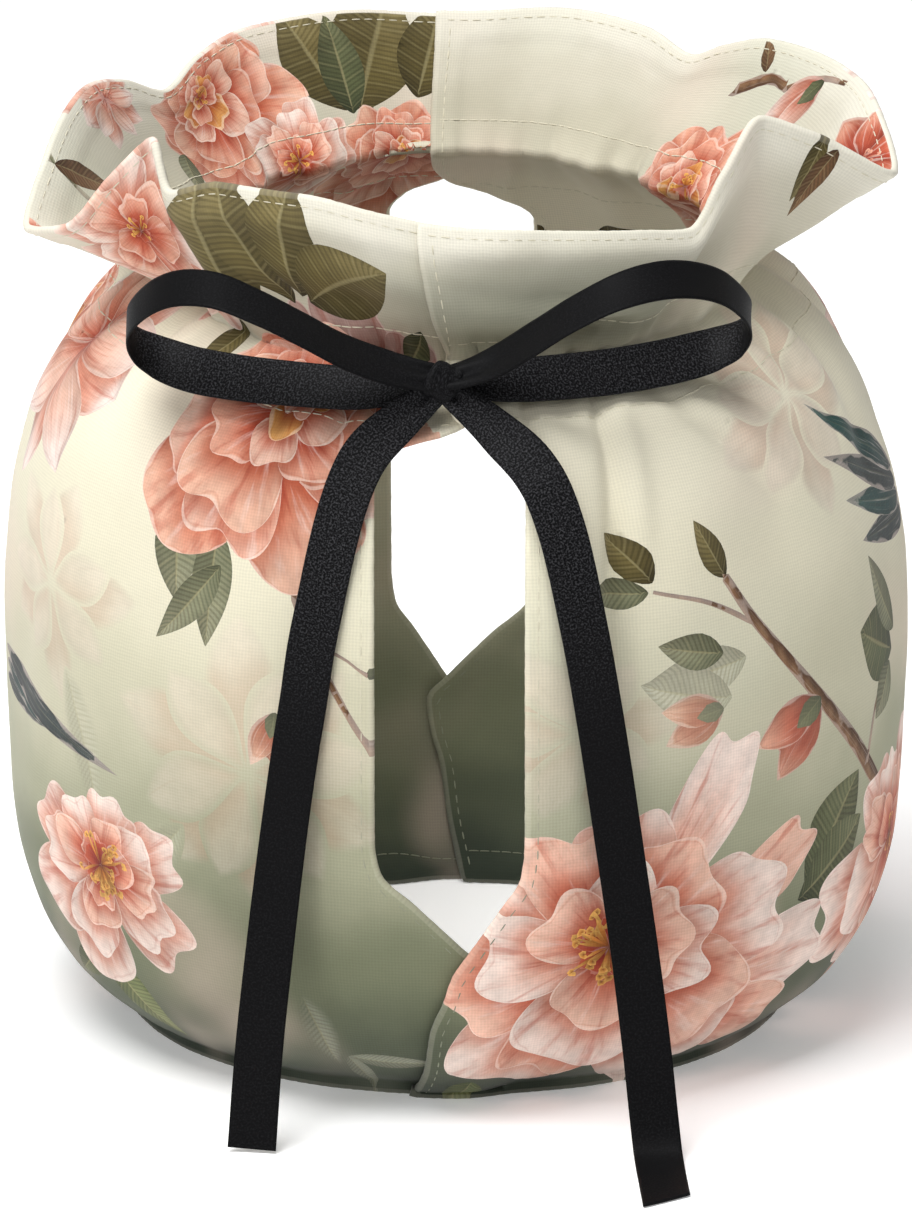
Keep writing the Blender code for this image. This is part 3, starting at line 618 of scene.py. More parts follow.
# what is printed on each face, lowest first
prints = {
    "left": [
        starFlower(-104, 112, 30, 20, 0.8, 11, "ghostRose", 0, 0.34),
        starFlower(-44, 84, 34, 50, 0.9, 12, "ghostRose", 0, 0.28, petals=6),
        leaf(-96, 96, 34, 12, 150, "ghostLeaf", 0.2, 0.45),
        leaf(-60, 70, 30, 11, -140, "ghostLeaf", 0.2, 0.45),
        leaf(-34, 36, 24, 9, 160, "mist", 0.15, 0.6), leaf(-26, 18, 22, 6, 100, "mist", -0.1, 0.75),
        leaf(-26, 18, 18, 6, 165, "mist", 0.1, 0.75),
        # twig beside the slit
        stroke([(-40, 138), (-34, 122), (-26, 106), (-15, 88)], 2.2, 1.2),
        stroke([(-30, 113), (-24, 112), (-18, 108)], 0.9, 0.5), bud(-18, 108, 9, 60),
        bud(-38, 98, 13, 190, "peach", 0.85),
        # grey-green leaves under the bloom
        leaf(-66, 140, 22, 13, 165, "greyGreen", 0.1), leaf(-54, 136, 26, 10, 178, "greyGreen", 0.05),
        leaf(-52, 128, 24, 8, 214, "greyGreen", 0.1), leaf(-44, 140, 15, 10, 150, "greyGreen", -0.1),
        # leaves and dusky petals on the ruffle
        petal(-46, 166, 26, -12, 48, "mauve", 0.5), petal(-34, 164, 32, 6, 44, "mauve", -0.5, 0.06),
        petal(-26, 162, 29, 32, 40, "mauve", 0.6), leaf(-10, 190, 15, 10, 204, "moss", 0.1, fullest=1),
        leaf(-66, 188, 34, 24, 8, "olive", 0.1, fullest=1),
        leaf(-48, 192, 30, 20, -14, "olive", 0.05, fullest=1),
        leaf(-44, 194, 30, 17, 24, "olive", -0.05, fullest=1),
        leaf(-42, 193, 31, 18, 62, "olive", 0.1, fullest=1), leaf(-78, 184, 16, 9, 190, "olive", 0.1),
        # bloom at the shoulder, under the bow
        fullFlower("rose", -46, 160, 37, 14, 0.95, 21, 0.12, 10),
        # open blossom round the left side
        starFlower(-132, 160, 37, 30, 0.9, 31, "glow"),
        # pale petals on the left flap
        fullFlower("pale", -98, 204, 26, 70, 0.9, 41, 0.16, 8),
        starFlower(-170, 206, 24, 10, 0.9, 42, "glow"),
        fullFlower("pale", -236, 204, 24, 30, 0.9, 43, 0.16, 8),
        leaf(-262, 200, 22, 10, 70, "olive", 0.1),
        # dark blades at the left
        feathery(-140, 84, 56, 6, 92, 3, 10),
        # peach bloom low on the left
        leaf(-90, 36, 28, 13, 152, "fresh", 0.05), leaf(-92, 34, 20, 8, 232, "moss", 0.1),
        stroke([(-88, 52), (-88, 42), (-90, 34)], 2, 1.4),
        fullFlower("pale", -86, 53, 27, 10, 0.9, 51, 0.3, 30),
        # back of the body
        starFlower(-176, 118, 28, 60, 0.9, 71, "ghostRose", 0, 0.34),
        stroke([(-262, 142), (-244, 126), (-232, 108), (-214, 92)], 1.6, 3),
        leaf(-262, 142, 16, 7, -50, "olive", 0.1), leaf(-248, 130, 17, 8, 60, "greyGreen", 0.1),
        leaf(-238, 116, 18, 9, 220, "greyGreen", 0.1), leaf(-226, 66, 30, 16, 120, "moss", 0.1),
        fullFlower("peony", -222, 62, 38, -20, 0.95, 72),
        fullFlower("rose", -176, 150, 26, 40, 0.95, 73, 0.1, 8), bud(-160, 64, 15, 30, "peach"),
    ],
    "right": [
        starFlower(98, 156, 34, -30, 0.8, 111, "ghostRose", 0, 0.42),
        starFlower(24, 96, 26, 20, 0.9, 112, "ghostRose", 0, 0.28),
        leaf(64, 106, 24, 11, -100, "ghostLeaf", 0.1, 0.8),
        leaf(60, 98, 22, 12, -80, "ghostLeaf", 0.1, 0.7),
        # twig with leaves
        leaf(42, 126, 15, 8, -34, "olive", -0.1), leaf(41, 124, 15, 7, -92, "greyGreen", 0.1),
        leaf(58, 108, 16, 8, -78, "greyGreen", 0.05),
        stroke([(42, 124), (54, 120), (68, 112)], 0.8, 1.4), leaf(60, 124, 15, 6.5, -28, "olive", 0.05),
        stroke([(60, 124), (68, 112), (82, 96), (98, 80), (116, 62)], 2.2, 4.2),
        bud(86, 92, 20, 236, "coral", 0.9), bud(58, 96, 15, 262, "peach", 0.75),
        stroke([(106, 72), (110, 84), (120, 94)], 1.4, 0.9),
        leaf(122, 92, 22, 16, -70, "moss", 0.1, fullest=1),
        leaf(120, 90, 14, 10, 220, "greyGreen", 0.1), leaf(124, 96, 24, 9, -44, "greyGreen", 0.15),
        # dark blades at the right
        feathery(146, 120, 46, 7, -74, 4, 26),
        # leaves and blooms low on the right
        leaf(84, 50, 28, 17, 34, "moss", 0.1, fullest=1),
        leaf(82, 48, 26, 15, 66, "moss", -0.1, fullest=1), leaf(4, 12, 16, 10, 200, "fresh", 0.1),
        fullFlower("pale", 128, 46, 35, 15, 1, 121, 0.16, 10),
        petal(34, 44, 54, 34, 17, "palePink", -0.6, 0.04),
        petal(40, 40, 50, 62, 15, "blush", 0.4, 0.04), petal(46, 34, 47, 86, 24, "palePink", -0.4),
        petal(44, 30, 44, 108, 26, "blush", 0.5),
        fullFlower("peony", 32, 44, 45, 12, 0.92, 122, 0.22, 40),
        # sprig on the right flap
        leaf(111, 219, 15, 5.5, 172, "olive", 0.1), leaf(115, 218, 17, 5, 186, "twig", -0.05),
        starFlower(170, 202, 22, 30, 0.9, 131, "glow"), leaf(204, 214, 18, 8, 196, "greyGreen", 0.1),
        # back of the body
        starFlower(238, 150, 30, -10, 0.9, 141, "ghostRose", 0, 0.34),
        starFlower(186, 140, 30, 40, 0.95, 142, "palePink"),
        leaf(196, 120, 20, 8, 150, "greyGreen", 0.1),
        stroke([(284, 150), (268, 128), (256, 104), (240, 84)], 1.4, 3),
        leaf(276, 140, 16, 8, 80, "olive", 0.1), leaf(268, 128, 18, 8, -80, "greyGreen", 0.1),
        leaf(260, 112, 18, 9, 110, "olive", 0.1), leaf(236, 62, 30, 15, 60, "moss", 0.1),
        fullFlower("rose", 228, 52, 36, 25, 0.95, 143, 0.12, 10),
        fullFlower("pale", 180, 72, 24, -35, 0.9, 144, 0.2, 10), bud(276, 60, 15, -20, "coral"),
    ],
    "leftInside": [
        leaf(-266, 192, 34, 24, -22, "olive", 0.05, fullest=1),
        leaf(-262, 193, 30, 18, 26, "olive", -0.05, fullest=1),
        leaf(-264, 192, 26, 12, 4, "moss", 0.05), leaf(-284, 196, 26, 16, -14, "olive", 0.05),
        fullFlower("rose", -222, 202, 29, 30, 0.95, 61, 0.1, 8),
        fullFlower("rose", -276, 176, 24, -30, 0.95, 62, 0.1, 8),
        fullFlower("pale", -242, 182, 22, 40, 0.9, 63, 0.22, 10),
        leaf(-200, 196, 15, 8, 150, "greyGreen", 0.1), starFlower(-178, 214, 16, 10, 0.9, 64, "glow"),
        # sprig in the left flap
        stroke([(-144, 219), (-142, 210), (-141, 202), (-143, 196)], 1, 1.9, "greyGreen"),
        leaf(-143, 216, 19, 7, 204, "twig", 0.1), leaf(-143, 200, 7, 4, 178, "olive", 0.1),
        starFlower(-116, 216, 15, 60, 0.9, 65, "blush"),
        # deeper in
        fullFlower("peony", -196, 112, 36, 20, 0.95, 66), leaf(-250, 110, 26, 12, 60, "moss", 0.1),
        starFlower(-60, 120, 30, 20, 0.9, 67, "palePink"),
    ],
    "rightInside": [
        leaf(272, 146, 22, 11, 70, "olive", 0.05), leaf(262, 148, 24, 12, -80, "olive", -0.05),
        fullFlower("rose", 204, 177, 29, 40, 0.95, 161, 0.1, 8),
        # twig, stem and bud on the flap
        stroke([(212, 206), (203, 210), (194, 209)], 3.4, 2),
        stroke([(196, 209), (186, 214), (176, 216)], 1.8, 1.2), leaf(206, 211, 9, 4, 30, "twig", 0.1),
        bud(184, 214, 17, 150, "palePink"), starFlower(146, 212, 19, 30, 0.9, 162, "coral"),
        # deeper in
        starFlower(210, 116, 34, 20, 0.9, 163, "palePink"), leaf(176, 120, 24, 11, 150, "moss", 0.1),
        fullFlower("pale", 80, 110, 30, 0, 0.95, 164),
    ],
}
prints = {face: sum(groups, []) for face, groups in prints.items()}
print("print drawn:", {side: len(shapes) for side, shapes in prints.items()}, "shapes")


def boxOf(shape, step):
    outline = outlineOf(shape, step)
    return outline.min(axis=0), outline.max(axis=0)


def topShape(points, shapes, boxes, first=0):
    # index of the topmost shape over each point, or -1 on the plain ground
    top = np.full(len(points), -1)
    for index in range(first, len(shapes)):
        low, high = boxes[index]
        near = np.flatnonzero(((points >= low) & (points <= high)).all(axis=1))
        if len(near):
            inside = fromCloth(shapes[index], points[near])[2] > 0.0
            top[near[inside]] = index
    return top


def paintShape(shapes, boxes, index, points):
    # colour and fine coordinates of a shape at flat points
    shape = shapes[index]
    share, across, inside = fromCloth(shape, points)
    share, across = np.clip(share, 0.0, 1.0), np.clip(across, -1.0, 1.0)
    heart, middle, rim = inks[shape["ink"]]
    if shape["form"] == "stroke":       # lit along its upper side
        colour = middle + (heart - middle) * softStep(0.5 + 0.9 * across)[:, None]
        colour = colour + (rim - colour) * (0.6 * bell((across + 0.35) / 0.3))[:, None]
    elif shape["vein"]:                 # a leaf, dark at the stem
        colour = heart + (middle - heart) * softStep(0.25 + share / 0.5)[:, None]
        colour = colour + (rim - colour) * (0.75 * softStep(share * 1.15 - 0.2) ** 1.5)[:, None]
        colour = colour * (1.0 - brush["edges"] * np.abs(across) ** 3)[:, None]
    else:                               # a petal, deep at the heart and pale at the rim
        colour = heart + (middle - heart) * softStep((share + 0.08) / 0.52)[:, None]
        colour = colour + (rim - colour) * softStep((share - 0.45) / 0.5)[:, None]
        colour = colour * (1.0 - brush["edges"] * softStep(np.abs(across) * 1.4 - 0.5))[:, None]
    colour = colour * (1.0 - brush["side"] * shape["side"] * across)[:, None]
    if shape["place"] is not None and not shape["vein"]:
        facing = math.cos(shape["turn"] + shape["place"]["turn"] + 0.7)
        colour = colour * (1.0 + brush["facing"] * facing)
    # darker beside each petal of the same flower that lies over this one
    shade = np.zeros(len(points))
    for over in range(index + 1, min(index + brush["overlapNext"], len(shapes))):
        other = shapes[over]
        if other["place"] is None or other["place"] is not shape["place"]:
            continue
        if other["length"] < brush["overlapLeast"]:
            continue
        low, high = boxes[over]
        if (points.max(axis=0) < low - 6).any() or (points.min(axis=0) > high + 6).any():
            continue
        gap = -fromCloth(other, points)[2]
        reach = brush["overlapReach"] * min(other["length"], brush["overlapMost"]) + 0.5
        shade = np.maximum(shade, np.where(gap > -0.3, bell(np.maximum(gap, 0.0) / reach), 0.0))
    shadow = np.array(brush["petalShadow"] if shape["streak"] else brush["leafShadow"])
    colour = colour * (1.0 - brush["overlap"] * shade[:, None] * (1.0 - shadow))
    opacity = shape["opacity"] * np.ones(len(points))
    if shape["opacity"] < 0.7:          # faint shapes have soft outlines
        opacity = opacity * softStep(inside / 2.5)
    detail = np.stack((share * shape["length"], across, np.maximum(inside, 0.0)), axis=1)
    mark = np.tile((shape["streak"], shape["vein"], index * 0.37), (len(points), 1))
    return np.clip(colour, 0.0, 1.0), opacity, detail, mark


# cloth panels
panelCloth = {
    "thick": 1.25,         # canvas
    "hemThick": 1.8,       # where it is turned in
    "hemWide": 5,          # along the slits and seams
    "rimWide": 8,
    "hemEase": 0.9,        # over which the turned hem ends
    "step": 1.6,           # of the mesh on the flat cloth
    "outlineStep": 1.2,
    "edgeRounds": 4,
    "stitchIn": 2.6,       # stitching's distance from an edge
    "stitchDip": 0.10,
    "dipHalf": 0.55,
    "pucker": 0.05,        # of the hems
    "offGround": 0.02,
}


def edgeDistances(side, u, v):
    # millimetres from the lapping edge, from the edge below, from the rim and from the hem
    level = levelOf(v)
    start, end, radius = seamAngles(panelTurn[side], level)
    angle = np.degrees(u / cover["flatRadius"])
    return np.radians(angle - start) * radius, np.radians(end - angle) * radius, topFlat - v, v


def halfThickness(side, u, v):
    over, under, rim, hem = edgeDistances(side, u, v)
    cloth = panelCloth
    beside = np.minimum(over, under)
    turnedIn = np.maximum(1.0 - softStep((beside - cloth["hemWide"]) / cloth["hemEase"]),
                          1.0 - softStep((np.minimum(rim, hem) - cloth["rimWide"]) / cloth["hemEase"]))
    half = 0.5 * (cloth["thick"] + (cloth["hemThick"] - cloth["thick"]) * turnedIn)
    seamLine = np.minimum(np.abs(beside - cloth["stitchIn"]), np.abs(rim - cloth["stitchIn"]))
    half = half - cloth["stitchDip"] * bell(seamLine / cloth["dipHalf"])
    puckers = np.sin(u * 1.9 + 1.3 * np.sin(v * 0.7)) * np.sin(v * 1.7 + 1.1 * np.sin(u * 0.6))
    return half + cloth["pucker"] * puckers * turnedIn


def flatMesh(side, shapes):
    # triangles on the flat cloth that follow every outline of the print that shows
    cloth = panelCloth
    inset = 0.5 * cloth["hemThick"]
    rows = np.linspace(inset, topFlat - inset, int(topFlat / cloth["outlineStep"]))
    start, end, radius = seamAngles(panelTurn[side], levelOf(rows))
    flat = cover["flatRadius"]
    left = np.radians(start + np.degrees(inset / radius)) * flat
    right = np.radians(end - np.degrees(inset / radius)) * flat
    bottom = np.linspace(left[0], right[0], int((right[0] - left[0]) / cloth["outlineStep"]))[1:-1]
    top = np.linspace(left[-1], right[-1], int((right[-1] - left[-1]) / cloth["outlineStep"]))[1:-1]
    border = np.vstack((
        np.stack((bottom, np.full(len(bottom), rows[0])), axis=1),
        np.stack((right, rows), axis=1),
        np.stack((top[::-1], np.full(len(top), rows[-1])), axis=1),
        np.stack((left, rows), axis=1)[::-1],
    ))

    def within(points, margin):
        near = np.interp(points[:, 1], rows, left)
        far = np.interp(points[:, 1], rows, right)
        return ((points[:, 0] > near + margin) & (points[:, 0] < far - margin)
                & (points[:, 1] > rows[0] + margin) & (points[:, 1] < rows[-1] - margin))

    step = cloth["step"]
    grid = []
    for index, v in enumerate(np.arange(rows[0] + step, rows[-1], 0.9 * step)):
        us = np.arange(left.min() + 0.5 * step * (index % 2), right.max(), step)
        grid.append(np.stack((us, np.full(len(us), v)), axis=1))
    grid = np.vstack(grid)
    grid = grid[within(grid, 0.55 * step)]
    boxes = [boxOf(shape, cloth["outlineStep"]) for shape in shapes]
    points, edges = [grid, border], []
    count = len(grid)
    edges += [(count + i, count + (i + 1) % len(border)) for i in range(len(border))]
    count += len(border)
    for index, shape in enumerate(shapes):
        outline = outlineOf(shape, cloth["outlineStep"])
        ends = np.roll(outline, -1, axis=0)
        shown = (topShape(0.5 * (outline + ends), shapes, boxes, index + 1) < 0)
        shown &= within(outline, 0.2) & within(ends, 0.2)
        points.append(outline)
        edges += [(count + i, count + (i + 1) % len(outline)) for i in np.flatnonzero(shown)]
        count += len(outline)
    points = np.vstack(points)
    used = np.zeros(len(points), bool)
    used[: len(grid) + len(border)] = True
    used[np.array(edges).ravel()] = True
    renumber = np.cumsum(used) - 1
    flatPoints = [Vector(p) for p in points[used].tolist()]
    edges = [(int(renumber[a]), int(renumber[b])) for a, b in edges]
    found, _, faces, _, _, _ = delaunay_2d_cdt(flatPoints, edges, [], 0, 1e-4, False)
    places = np.array([p[:] for p in found])
    triangles = np.array([face for face in faces if len(face) == 3])
    corners = places[triangles]
    run, rise = corners[:, 1] - corners[:, 0], corners[:, 2] - corners[:, 0]
    if np.median(run[:, 0] * rise[:, 1] - run[:, 1] * rise[:, 0]) < 0.0:
        triangles = triangles[:, ::-1]
    middle = corners.mean(axis=1)
    keep = within(middle, 0.005)        # drops what lies outside the panel
    triangles = triangles[keep]
    region = topShape(middle[keep], shapes, boxes)
    used = np.unique(triangles)
    renumber = np.zeros(len(places), int)
    renumber[used] = np.arange(len(used))
    return places[used], renumber[triangles], region


def borderEdges(triangles):
    # directed edges that belong to one triangle only
    edges = np.vstack((triangles[:, (0, 1)], triangles[:, (1, 2)], triangles[:, (2, 0)]))
    owner = np.tile(np.arange(len(triangles)), 3)
    key = edges.min(axis=1).astype(np.int64) * (edges.max() + 1) + edges.max(axis=1)
    _, first, counts = np.unique(key, return_index=True, return_counts=True)
    alone = first[counts == 1]
    return edges[alone], owner[alone]


def clothPanel(name, side, material):
    # two faces of cloth, each with its own print, joined by a rounded edge
    outside, inside = prints[side], prints[side + "Inside"]
    places, triangles, region = flatMesh(side, outside)
    lining, liningTriangles, liningRegion = flatMesh(side, inside)
    middle = panelPoint(side, *places.T)
    normal = panelNormal(side, *places.T)
    half = halfThickness(side, *places.T)[:, None]
    inward = -panelNormal(side, *lining.T) * halfThickness(side, *lining.T)[:, None]
    inner = panelPoint(side, *lining.T) + inward
    edges, owner = borderEdges(triangles)
    run = middle[edges[:, 1]] - middle[edges[:, 0]]
    outward = np.zeros_like(middle)
    for end in (0, 1):
        np.add.at(outward, edges[:, end], unit(np.cross(run, normal[edges[:, end]])))
    rimIndex = np.unique(edges)
    ringOf = np.full(len(places), -1)
    ringOf[rimIndex] = np.arange(len(rimIndex))
    away = unit(outward[rimIndex])
    rings = []
    for turn in np.linspace(0.0, math.pi, panelCloth["edgeRounds"] + 2)[1:-1]:
        ring = normal[rimIndex] * math.cos(turn) + away * math.sin(turn)
        rings.append(middle[rimIndex] + ring * half[rimIndex])
    points = np.vstack([middle + normal * half, inner] + rings)
    points[:, 2] = np.maximum(points[:, 2], panelCloth["offGround"])
    # the last ring is joined to the lining's nearest border points
    count, ringStart = len(places), len(places) + len(lining)
    liningRim = np.unique(borderEdges(liningTriangles)[0])
    gaps = np.abs(places[rimIndex][:, None] - lining[liningRim][None]).sum(axis=2)
    partner = np.zeros(count, int)
    partner[rimIndex] = liningRim[np.argmin(gaps, axis=1)] + count
    layers = [edges] + [ringStart + i * len(rimIndex) + ringOf[edges] for i in range(len(rings))]
    layers.append(partner[edges])
    quads = np.vstack([np.stack((near[:, 0], far[:, 0], far[:, 1], near[:, 1]), axis=1)
                       for near, far in zip(layers[:-1], layers[1:])])
    faces = triangles.tolist() + (liningTriangles[:, ::-1] + count).tolist() + quads.tolist()
    panel = meshObject(name, points, faces, material)
    # what each face corner carries: the flat place, and the shape that is printed there
    shapes = outside + inside
    boxes = [boxOf(shape, panelCloth["outlineStep"]) for shape in shapes]
    quadPlaces = np.stack((edges[:, 0], edges[:, 0], edges[:, 1], edges[:, 1]), axis=1)
    quadPlaces = np.vstack([quadPlaces] * (len(layers) - 1))
    cornerPlace = np.vstack((places[triangles.ravel()], lining[liningTriangles[:, ::-1].ravel()],
                             places[quadPlaces.ravel()]))
    liningRegion = np.where(liningRegion < 0, -1, liningRegion + len(outside))
    quadRegion = np.tile(np.repeat(region[owner], 4), len(layers) - 1)
    cornerRegion = np.concatenate((np.repeat(region, 3), np.repeat(liningRegion, 3), quadRegion))
    paint = np.zeros((len(cornerPlace), 4))
    detail = np.zeros((len(cornerPlace), 3))
    mark = np.zeros((len(cornerPlace), 3))
    order = np.argsort(cornerRegion, kind="stable")
    bounds = np.searchsorted(cornerRegion[order], np.arange(len(shapes) + 1))
    for index in range(len(shapes)):
        mine = order[bounds[index]:bounds[index + 1]]
        if len(mine):
            colour, opacity, fine, kind = paintShape(shapes, boxes, index, cornerPlace[mine])
            paint[mine, :3], paint[mine, 3] = colour, opacity
            detail[mine], mark[mine] = fine, kind
    carry(panel, "paint", "FLOAT_COLOR", "CORNER", paint)
    carry(panel, "detail", "FLOAT_VECTOR", "CORNER", detail)
    carry(panel, "mark", "FLOAT_VECTOR", "CORNER", mark)
    carry(panel, "edgeGap", "FLOAT", "CORNER", np.min(edgeDistances(side, *cornerPlace.T), axis=0))
    layFlat(panel, "flatCloth", cornerPlace * mm)
    print("panel", side, len(faces), "faces")
    return panel


# stitching
stitchLook = {
    "pitch": 3.1,
    "length": 2.2,
    "radius": 0.15,
    "sink": 0.12,          # each end dips into the cloth
    "casing": (151, 168.5),  # levels of the rows below and above the ribbon's casing
    "hemUp": 7.2,
    "ends": 4,             # rows stop short of the panel's edges
    "foot": 5,
    "proud": 0.02,
    "sides": 6,
    # along, width
    "profile": [(-1, 0.35), (-0.72, 0.9), (0, 1), (0.72, 0.9), (1, 0.35)],
}


def stitchRows(side):
    # flat places along each row, with its faces: +1 outside, -1 inside
    look, cloth = stitchLook, panelCloth
    rows = []

    def levelRow(v, faces):
        start, end, _ = seamAngles(panelTurn[side], levelOf(np.array(v)))
        left, right = (np.radians(x) * cover["flatRadius"] for x in (start, end))
        us = np.arange(left + look["ends"], right - look["ends"], look["pitch"])
        rows.append((np.stack((us, np.full(len(us), v)), axis=1), faces))

    levelRow(topFlat - cloth["stitchIn"], (1, -1))
    levelRow(look["hemUp"], (-1,))
    for at in look["casing"]:
        levelRow(np.interp(at, profileLevels, profileFlat), (1, -1))
    vs = np.arange(look["foot"], topFlat - look["ends"], look["pitch"])
    start, end, radius = seamAngles(panelTurn[side], levelOf(vs))
    for edge, way, faces in ((start, 1.0, (1,)), (end, -1.0, (1, -1))):
        us = np.radians(edge + way * np.degrees(cloth["stitchIn"] / radius)) * cover["flatRadius"]
        rows.append((np.stack((us, vs), axis=1), faces))
    return rows


def sewStitches(name, material):
    # one small spindle for each stitch
    look = stitchLook
    ring = np.linspace(0.0, 2.0 * math.pi, look["sides"], endpoint=False)
    form = []
    for along, wide in look["profile"]:
        drop = -look["sink"] * along ** 4
        form += [(0.5 * look["length"] * along, look["radius"] * wide * math.cos(t),
                  drop + look["radius"] * wide * math.sin(t)) for t in ring]
    form = np.array(form)
    n, last = look["sides"], len(look["profile"]) - 1
    formFaces = [(r * n + i, r * n + (i + 1) % n, (r + 1) * n + (i + 1) % n, (r + 1) * n + i)
                 for r in range(last) for i in range(n)]
    formFaces += [tuple(range(n))[::-1], tuple(last * n + i for i in range(n))]
    points, faces, tones, total = [], [], [], 0
    low, high = threadLook["from"], threadLook["to"]
    for side in ("left", "right"):
        for row, sides in stitchRows(side):
            tone = softStep((levelOf(row[:, 1]) - low) / (high - low))
            ahead = row + (np.roll(row, -1, axis=0) - row) * 0.05
            ahead[-1] = row[-1] + (row[-1] - row[-2]) * 0.05
            middle, normal = panelPoint(side, *row.T), panelNormal(side, *row.T)
            run = unit(panelPoint(side, *ahead.T) - middle)
            half = halfThickness(side, *row.T)
            for face in sides:
                seat = middle + normal * (face * (half + look["proud"]))[:, None]
                across = np.cross(normal * face, run)
                cloud = seat[:, None] + run[:, None] * form[None, :, :1]
                cloud = cloud + across[:, None] * form[None, :, 1:2]
                cloud = cloud + (normal * face)[:, None] * form[None, :, 2:]
                points.append(cloud.reshape(-1, 3))
                tones.append(np.repeat(tone, len(form)))
                for i in range(len(row)):
                    faces += [tuple(total + i * len(form) + k for k in corners) for corners in formFaces]
                total += len(row) * len(form)
    piece = meshObject(name, np.vstack(points), faces, material)
    carry(piece, "tone", "FLOAT", "POINT", np.concatenate(tones))
    print("stitches", len(faces) // len(formFaces))
    return piece


# node helpers: each works in the tree of the material that was opened last
bench = {}


def newMaterial(name):
    material = bpy.data.materials.new(name)
    material.use_nodes = True
    bench["tree"] = material.node_tree
    return material, material.node_tree.nodes["Principled BSDF"]


def feed(node, inputs):
    for label, value in inputs.items():
        if isinstance(value, bpy.types.NodeSocket):
            bench["tree"].links.new(value, node.inputs[label])
        else:
            node.inputs[label].default_value = value


def addNode(kind, inputs=None, **settings):
    node = bench["tree"].nodes.new(kind)
    for label, value in settings.items():
        setattr(node, label, value)
    feed(node, inputs or {})
    return node


def calc(operation, a, b=0.0, c=0.0):
    return addNode("ShaderNodeMath", {0: a, 1: b, 2: c}, operation=operation).outputs[0]


def plus(a, b):
    return calc("ADD", a, b)


def times(first, *others):
    for other in others:
        first = calc("MULTIPLY", first, other)
    return first


def blendColour(share, below, above, way="MIX"):
    below, above = (value if isinstance(value, bpy.types.NodeSocket) else (*value, 1.0)
                    for value in (below, above))
    node = addNode("ShaderNodeMix", data_type="RGBA", blend_type=way)
    feed(node, {0: share, 6: below, 7: above})
    return node.outputs[2]


def spread(value, low, high, to0=0.0, to1=1.0, soft=True):
    node = addNode("ShaderNodeMapRange", {0: value, 1: low, 2: high, 3: to0, 4: to1},
                   interpolation_type="SMOOTHSTEP" if soft else "LINEAR")
    return node.outputs[0]


def colourRamp(value, stops, way="LINEAR"):
    node = addNode("ShaderNodeValToRGB", {0: value})
    node.color_ramp.interpolation = way
    while len(node.color_ramp.elements) < len(stops):
        node.color_ramp.elements.new(0.5)
    for element, (at, colour) in zip(node.color_ramp.elements, stops):
        element.position = at
        element.color = (*colour, 1.0)
    return node.outputs[0]


def noise(vector, scale, detail=2.0, rough=0.5):
    node = addNode("ShaderNodeTexNoise", {"Vector": vector, "Scale": scale, "Detail": detail,
                                          "Roughness": rough}, noise_dimensions="3D")
    return node.outputs["Fac"]


def vectorCalc(operation, vector, other):
    return addNode("ShaderNodeVectorMath", {0: vector, 1: other}, operation=operation).outputs[0]


def parts(vector):
    return addNode("ShaderNodeSeparateXYZ", {0: vector}).outputs[:3]


def clothPlace(label):
    # flat place on the cloth, and its two parts
    flat = addNode("ShaderNodeUVMap", uv_map=label).outputs[0]
    return flat, *parts(flat)[:2]


def carried(label, output="Fac"):
    return addNode("ShaderNodeAttribute", attribute_name=label).outputs[output]


def bump(strength, distance, height):
    node = addNode("ShaderNodeBump", {"Strength": strength, "Distance": distance * mm, "Height": height})
    return node.outputs[0]


# printed canvas
canvasLook = {
    "thread": 0.7,         # pitch of the weave
    "strayThread": 5,      # how far its waves shift, in radians
    "weaveDepth": 0.05,
    "weaveBump": 0.55,
    "weaveShade": 0.13,
    "roughness": 0.86,
    "sheen": 0.12,
    # ground colours up the flat cloth, as shares of its length; the darker band round the neck and the
    # dimmer top are painted shade
    "ground": [
        (0, ink(50, 58, 47)), (0.09, ink(78, 84, 66)), (0.20, ink(116, 120, 95)),
        (0.31, ink(162, 162, 136)), (0.43, ink(198, 194, 169)), (0.58, ink(222, 216, 192)),
        # from 0.80 up: painted shade of the gathers under the ruffle, darkest round the neck, and dimmer
        # on the ruffle
        (0.72, ink(229, 223, 201)), (0.80, ink(211, 205, 184)), (0.87, ink(186, 181, 161)),
        (0.94, ink(203, 198, 180)), (1, ink(223, 219, 204)),
    ],
    "groundDrift": 0.16,   # how unevenly they follow each other
    # scale of each noise, per metre
    "driftScale": 22,
    "blushScale": 16,
    "greenScale": 13,
    "rimScale": 120,
    "mottleScale": 190,
    "strayScale": 420,
    "slubScale": 1400,
    # painted shade: a soft grey-green darkening over the front of the neck, under the ruffle and the bow:
    # flat centre, half size
    "neckShadeAt": (36, 197),
    "neckShadeHalf": (72, 20),
    # ink of each layer and its strength: the print's, the painted shade over the neck, and the lighter
    # folded edges
    "blushCloud": (ink(232, 208, 192), 0.35),
    "greenCloud": (ink(200, 204, 182), 0.30),
    "neckShade": (ink(130, 132, 114), 0.72),
    "petalStreak": (ink(206, 120, 96), 0.55),
    "petalLight": (ink(254, 240, 232), 0.34),
    "rimShadow": (ink(196, 110, 84), 0.22),
    "rimLight": (ink(252, 234, 222), 0.34),
    "leafLines": (ink(120, 112, 88), 0.34),
    "leafShade": (ink(128, 124, 104), 0.42),
    # lighter folded edges: unprinted thread and a painted highlight
    "bareThreadAndHighlight": (ink(238, 232, 214), 0.10),
    "leafVein": ink(176, 166, 122),
    "ribStrength": 0.42,
    "sideVeinStrength": 0.14,
    "mottleTone": 0.74,
}


